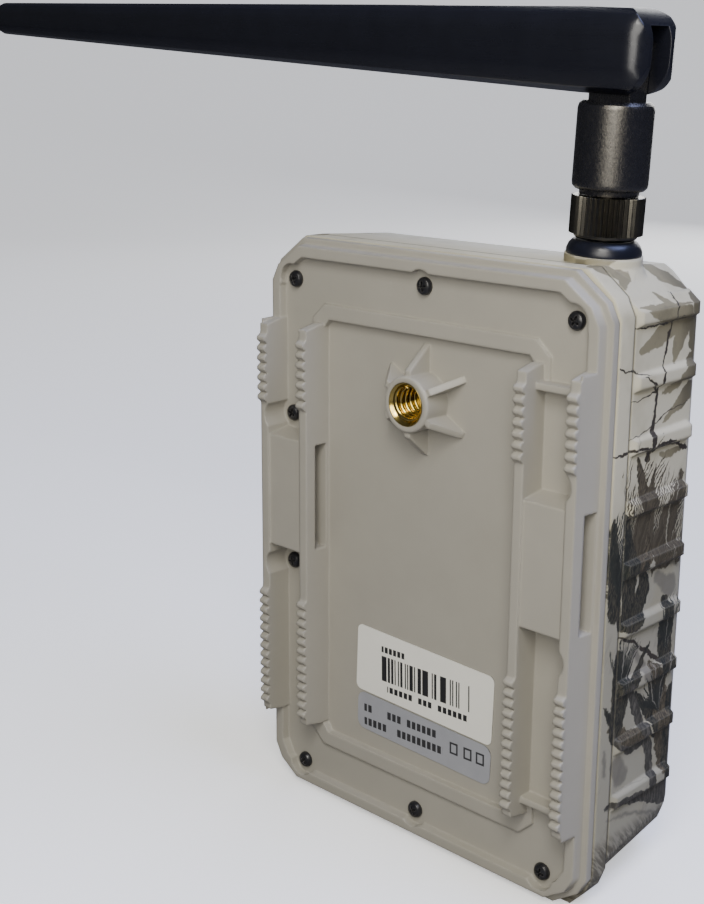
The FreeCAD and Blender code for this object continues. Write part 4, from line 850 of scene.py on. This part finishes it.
def finish_node(name, obj):
    """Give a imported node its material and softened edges; the face has a print of its own."""
    obj.data.materials.clear()
    obj.data.materials.append(FINISHES[name])
    weld = obj.modifiers.new("weld", "WELD")
    weld.merge_threshold = WELD_DISTANCE_MM * MM
    merge = obj.modifiers.new("merged_flats", "DECIMATE")
    merge.decimate_type = "DISSOLVE"
    merge.angle_limit = FLAT_ANGLE
    if name in EDGES_MM:
        bevel = obj.modifiers.new("rounded_edges", "BEVEL")
        bevel.width = EDGES_MM[name] * MM
        bevel.segments = 3
        bevel.limit_method = "ANGLE"
        bevel.angle_limit = BEVEL_ANGLE
        bevel.harden_normals = True
    for polygon in obj.data.polygons:
        polygon.use_smooth = True
    if FINISHES[name] is camo:
        obj.data.materials.append(camo_face)
        for polygon in obj.data.polygons:
            polygon.material_index = int(polygon.normal.y < FACE_NORMAL_Y)
    smooth = obj.modifiers.new("face_normals", "WEIGHTED_NORMAL")
    smooth.keep_sharp = True


for node_name, node_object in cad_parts.items():
    finish_node(node_name, node_object)

# --- added detail --------------------------------------------------------------------------------


def new_piece(name, vertices, faces, material, body):
    """A mesh piece that rides on a body and takes the material it is given."""
    mesh = bpy.data.meshes.new(name)
    mesh.from_pydata(vertices, [], faces)
    mesh.validate()
    obj = bpy.data.objects.new(name, mesh)
    bpy.context.scene.collection.objects.link(obj)
    mesh.materials.append(material)
    for polygon in mesh.polygons:
        polygon.use_smooth = True
    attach(obj, body)


def insert_thread():
    """The quarter-inch thread: a helical ridge inside the brass insert."""
    low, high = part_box("tripod_insert")
    centre_x = (low.x + high.x) / 2
    centre_z = (low.z + high.z) / 2
    pitch = 1.27 * MM
    outer = 3.16 * MM
    inner = 2.6 * MM
    root_half = 0.46
    crest_half = 0.09
    fade_steps = 14
    start = low.y + 1.2 * MM
    end = high.y - 0.55 * MM
    steps = 40
    count = int((end - start) / pitch * steps)
    vertices = []
    faces = []
    for index in range(count + 1):
        turn = 2 * math.pi * index / steps
        advance = start + pitch * index / steps
        fade = min(1.0, index / fade_steps, (count - index) / fade_steps)
        crest = outer - (outer - inner) * fade
        for radius, offset in ((outer, -root_half), (crest, -crest_half),
                               (crest, crest_half), (outer, root_half)):
            vertices.append((centre_x + radius * math.cos(turn), advance + offset * pitch,
                             centre_z + radius * math.sin(turn)))
        if index:
            base = 4 * (index - 1)
            faces += [(base + k, base + k + 1, base + k + 5, base + k + 4) for k in range(3)]
            faces.append((base + 3, base, base + 4, base + 7))
    faces.append((0, 1, 2, 3))
    last = 4 * count
    faces.append((last + 3, last + 2, last + 1, last))
    new_piece("insert_thread", vertices, faces, brass, "case")


insert_thread()


def fresnel_ridges():
    """Ring ridges that stand on the motion lens's domed window."""
    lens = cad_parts["pir_lens"]
    low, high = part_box("pir_lens")
    middle = (low + high) / 2
    surface = BVHTree.FromObject(lens, bpy.context.evaluated_depsgraph_get())
    rings = 8
    pitch = 1.05 * MM
    height = 0.11 * MM
    half = 0.22 * MM
    steps = 96
    clear_of_lens = 0.01
    for ring in range(1, rings + 1):
        vertices = []
        faces = []
        for index in range(steps):
            turn = 2 * math.pi * index / steps
            for offset, rise in ((-half, -height), (0.0, height), (half, -height)):
                radius = ring * pitch + offset
                x = middle.x + radius * math.cos(turn)
                z = middle.z + radius * math.sin(turn)
                outside = Vector((x, low.y - clear_of_lens, z))
                hit = surface.ray_cast(outside, Vector((0, 1, 0)))[0]
                vertices.append((x, hit.y - rise, z))
            base = 3 * index
            after = 3 * ((index + 1) % steps)
            faces += [(base + k, base + (k + 1) % 3, after + (k + 1) % 3, after + k)
                      for k in range(3)]
        new_piece(f"fresnel_ridge_{ring}", vertices, faces, FINISHES["pir_lens"], "case")


fresnel_ridges()

# --- floor, light and camera ---------------------------------------------------------------------

# floor and surround are pale for the camera and darker in the light they send to the object
FLOOR_BOUNCE = (0.16, 0.155, 0.15)
SURROUND_SEEN = 0.95
SURROUND_DIFFUSE = 0.22
SURROUND_REFLECTED = 0.07
WARM = (1.0, 0.965, 0.89)
SKY_BLUE = (0.44, 0.53, 1.0)


def studio_floor():
    """Pale floor that curves up behind the object."""
    size = 3.0
    flat = 1.0
    bend = 0.5
    bend_steps = 8
    profile = [(-size, 0.0), (flat, 0.0)]
    for step in range(1, bend_steps + 1):
        turn = math.radians(90 * step / bend_steps)
        profile.append((flat + bend * math.sin(turn), bend - bend * math.cos(turn)))
    profile.append((flat + bend, size))
    away = Vector((0.698, -0.716, 0.0)).normalized()
    side = Vector((-away.y, away.x, 0.0))
    vertices = []
    for distance, height in profile:
        for reach in (-size, size):
            vertices.append(away * distance + side * reach + Vector((0, 0, height)))
    faces = [(2 * i, 2 * i + 1, 2 * i + 3, 2 * i + 2) for i in range(len(profile) - 1)]
    mesh = bpy.data.meshes.new("studio_floor")
    mesh.from_pydata(vertices, [], faces)
    floor = bpy.data.objects.new("studio_floor", mesh)
    bpy.context.scene.collection.objects.link(floor)
    g = Graph("pale_floor")
    cloud = g.noise(g.coordinates(), 300.0, 2.0, 0.5)
    seen = g.field(g.node("ShaderNodeLightPath"), "Is Camera Ray")
    pale = g.mix(cloud, (0.86, 0.86, 0.86), (0.88, 0.88, 0.88))
    mesh.materials.append(g.surface(Base_Color=g.mix(seen, FLOOR_BOUNCE, pale), Roughness=0.9,
                                    Emission_Color=(1.0, 1.0, 1.0), Emission_Strength=seen * 0.6))
    for polygon in mesh.polygons:
        polygon.use_smooth = True


def area_light(name, position, target, size, power, colour=(1, 1, 1)):
    """A round soft light aimed at a target and unseen by the camera."""
    light = bpy.data.lights.new(name, "AREA")
    light.shape = "DISK"
    light.size = size
    light.energy = power
    light.color = colour
    obj = bpy.data.objects.new(name, light)
    obj.location = position
    obj.visible_camera = False
    obj.rotation_euler = (Vector(target) - Vector(position)).to_track_quat("-Z", "Y").to_euler()
    bpy.context.scene.collection.objects.link(obj)


def studio_light():
    """Warm key and overhead lights near the viewpoint, a blue sky light and a fill on the face."""
    world = bpy.data.worlds.new("studio")
    bpy.context.scene.world = world
    world.use_nodes = True
    tree = world.node_tree
    background = tree.nodes["Background"]
    background.inputs["Color"].default_value = (0.93, 0.96, 1.0, 1.0)
    rays = tree.nodes.new("ShaderNodeLightPath")
    strength = SURROUND_DIFFUSE
    for name, level in (("Is Glossy Ray", SURROUND_REFLECTED), ("Is Camera Ray", SURROUND_SEEN)):
        choice = tree.nodes.new("ShaderNodeMapRange")
        choice.inputs["To Max"].default_value = level
        tree.links.new(rays.outputs[name], choice.inputs["Value"])
        if isinstance(strength, float):
            choice.inputs["To Min"].default_value = strength
        else:
            tree.links.new(strength, choice.inputs["To Min"])
        strength = choice.outputs["Result"]
    tree.links.new(strength, background.inputs["Strength"])
    middle = (0, 0, 0.07)
    upper = (0, 0, 0.10)
    area_light("key", (-0.17, 0.26, 0.20), upper, 0.22, 0.80, WARM)
    area_light("overhead", (-0.20, 0.28, 0.42), upper, 0.16, 1.15, WARM)
    area_light("sky", (-0.35, -0.10, 0.75), middle, 0.5, 5.6, SKY_BLUE)
    area_light("face_fill", (0.4, -0.9, 0.4), middle, 0.7, 3.0)


def photo_camera():
    """The photograph's viewpoint, fitted to the cover's screws and edges."""
    camera = bpy.data.cameras.new("photo_camera")
    focal_px = 1430.1
    long_side_px = 904
    camera.sensor_width = 36.0
    camera.lens = focal_px / long_side_px * camera.sensor_width
    camera.shift_x = 0.0008
    camera.shift_y = -0.0198
    camera.clip_start = 0.01
    obj = bpy.data.objects.new("photo_camera", camera)
    right = Vector((-0.715, -0.699, 0.005)).normalized()
    forward = Vector((0.676, -0.694, -0.248)).normalized()
    up = right.cross(forward).normalized()
    turn = Matrix((right, up, -forward)).transposed()
    position = (-0.16725, 0.20593, 0.14635)
    obj.matrix_world = Matrix.Translation(position) @ turn.to_4x4()
    bpy.context.scene.collection.objects.link(obj)
    bpy.context.scene.camera = obj


studio_floor()
studio_light()
photo_camera()
